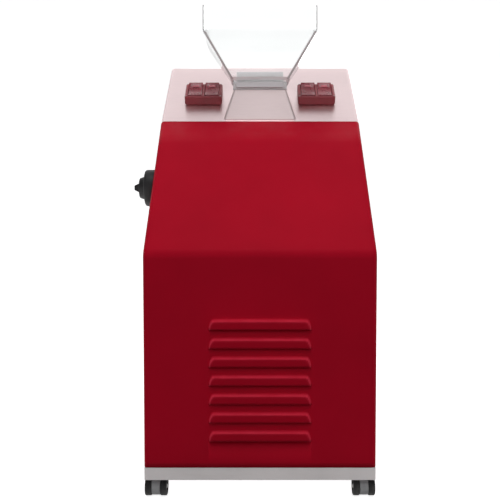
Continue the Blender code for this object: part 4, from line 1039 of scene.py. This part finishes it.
def floor():
    """A plain pale floor that curves up into a backdrop, wide enough for a look from any side."""
    work = bmesh.new()
    profile = [(-14.0, 0.0), (FLOOR_END, 0.0)]
    for step in range(1, 17):
        angle = math.pi / 2 * step / 16
        profile.append((FLOOR_END + FLOOR_CURVE * math.sin(angle), FLOOR_CURVE * (1 - math.cos(angle))))
    profile.append((FLOOR_END + FLOOR_CURVE, 9.0))
    rows = [[work.verts.new((x, y, z)) for x in (-16.0, 16.0)] for y, z in profile]
    for a, b in zip(rows, rows[1:]):
        work.faces.new((a[0], a[1], b[1], b[0]))
    obj = from_bmesh("floor", work, stage_material("studio_floor", (0.86, 0.86, 0.86), 0.84), 60, Vector())
    obj.visible_diffuse = False


def surround():
    """A white ball round the studio, seen straight on and through clear pieces, that lights nothing."""
    work = bmesh.new()
    bmesh.ops.create_uvsphere(work, u_segments=48, v_segments=24, radius=30.0)
    obj = from_bmesh("surround", work, stage_material("studio_surround", (0.9, 0.9, 0.9), 1.0), 60, Vector())
    obj.visible_diffuse = obj.visible_glossy = obj.visible_shadow = False


def light(name, at, size, radiance, target):
    """A soft box of a size in metres, as bright as its radiance."""
    data = bpy.data.lights.new(name, "AREA")
    data.shape = "RECTANGLE"
    data.size, data.size_y = size
    data.energy = radiance * size[0] * size[1] * math.pi
    obj = bpy.data.objects.new(name, data)
    obj.location = at
    obj.rotation_euler = (Vector(target) - Vector(at)).to_track_quat("-Z", "Y").to_euler()
    obj.visible_camera = obj.visible_transmission = False
    bpy.context.scene.collection.objects.link(obj)


def sky():
    """Soft room light: brighter overhead than from below."""
    world = bpy.data.worlds.new("studio")
    world.use_nodes = True
    tree = world.node_tree
    coords = tree.nodes.new("ShaderNodeTexCoord")
    split = tree.nodes.new("ShaderNodeSeparateXYZ")
    ramp = tree.nodes.new("ShaderNodeValToRGB")
    tree.links.new(coords.outputs["Generated"], split.inputs[0])
    tree.links.new(split.outputs["Z"], ramp.inputs["Fac"])
    stops = ramp.color_ramp.elements
    stops[0].position, stops[0].color = 0.0, (0.08, 0.08, 0.08, 1)
    stops[1].position, stops[1].color = 0.25, (0.24, 0.24, 0.24, 1)
    tree.links.new(ramp.outputs["Color"], tree.nodes["Background"].inputs["Color"])
    tree.nodes["Background"].inputs["Strength"].default_value = 1.0
    bpy.context.scene.world = world


def studio():
    floor()
    surround()
    sky()
    light("key", (0.3, -2.6, 3.4), (2.4, 1.4), 1.15, (0, 0, 0.5))
    light("top", (0.1, -1.1, 3.4), (2.0, 1.2), 3.0, (0, -0.1, 0.6))
    light("overhead", (0.0, 1.5, 3.4), (3.6, 2.4), 0.62, (0, 0.3, 0.8))
    light("front_card", (0.0, -4.6, 1.6), (3.6, 2.0), 0.72, (0, 0, 0.6))
    light("rear_card", (0.7, 3.2, 1.9), (2.4, 1.6), 1.5, (0, 0.2, 0.5))
    for side in (-1, 1):
        light("side_card", (side * 2.6, -0.50, 0.5), (1.4, 1.2), 0.9, (0, -0.2, 0.4))
    view = bpy.context.scene.view_settings
    view.view_transform = "Standard"
    view.look = "None"


def camera():
    data = bpy.data.cameras.new("camera")
    data.sensor_width = SENSOR
    data.lens = FOCAL_PX / FRAME_PX * SENSOR
    data.shift_x = -0.020
    obj = bpy.data.objects.new("camera", data)
    obj.location = AT + Vector((0.0, FRONT - CAMERA_BACK, CAMERA_UP))
    obj.rotation_euler = (math.radians(90 - CAMERA_DOWN), 0, 0)
    bpy.context.scene.collection.objects.link(obj)
    bpy.context.scene.camera = obj


build()
studio()
camera()
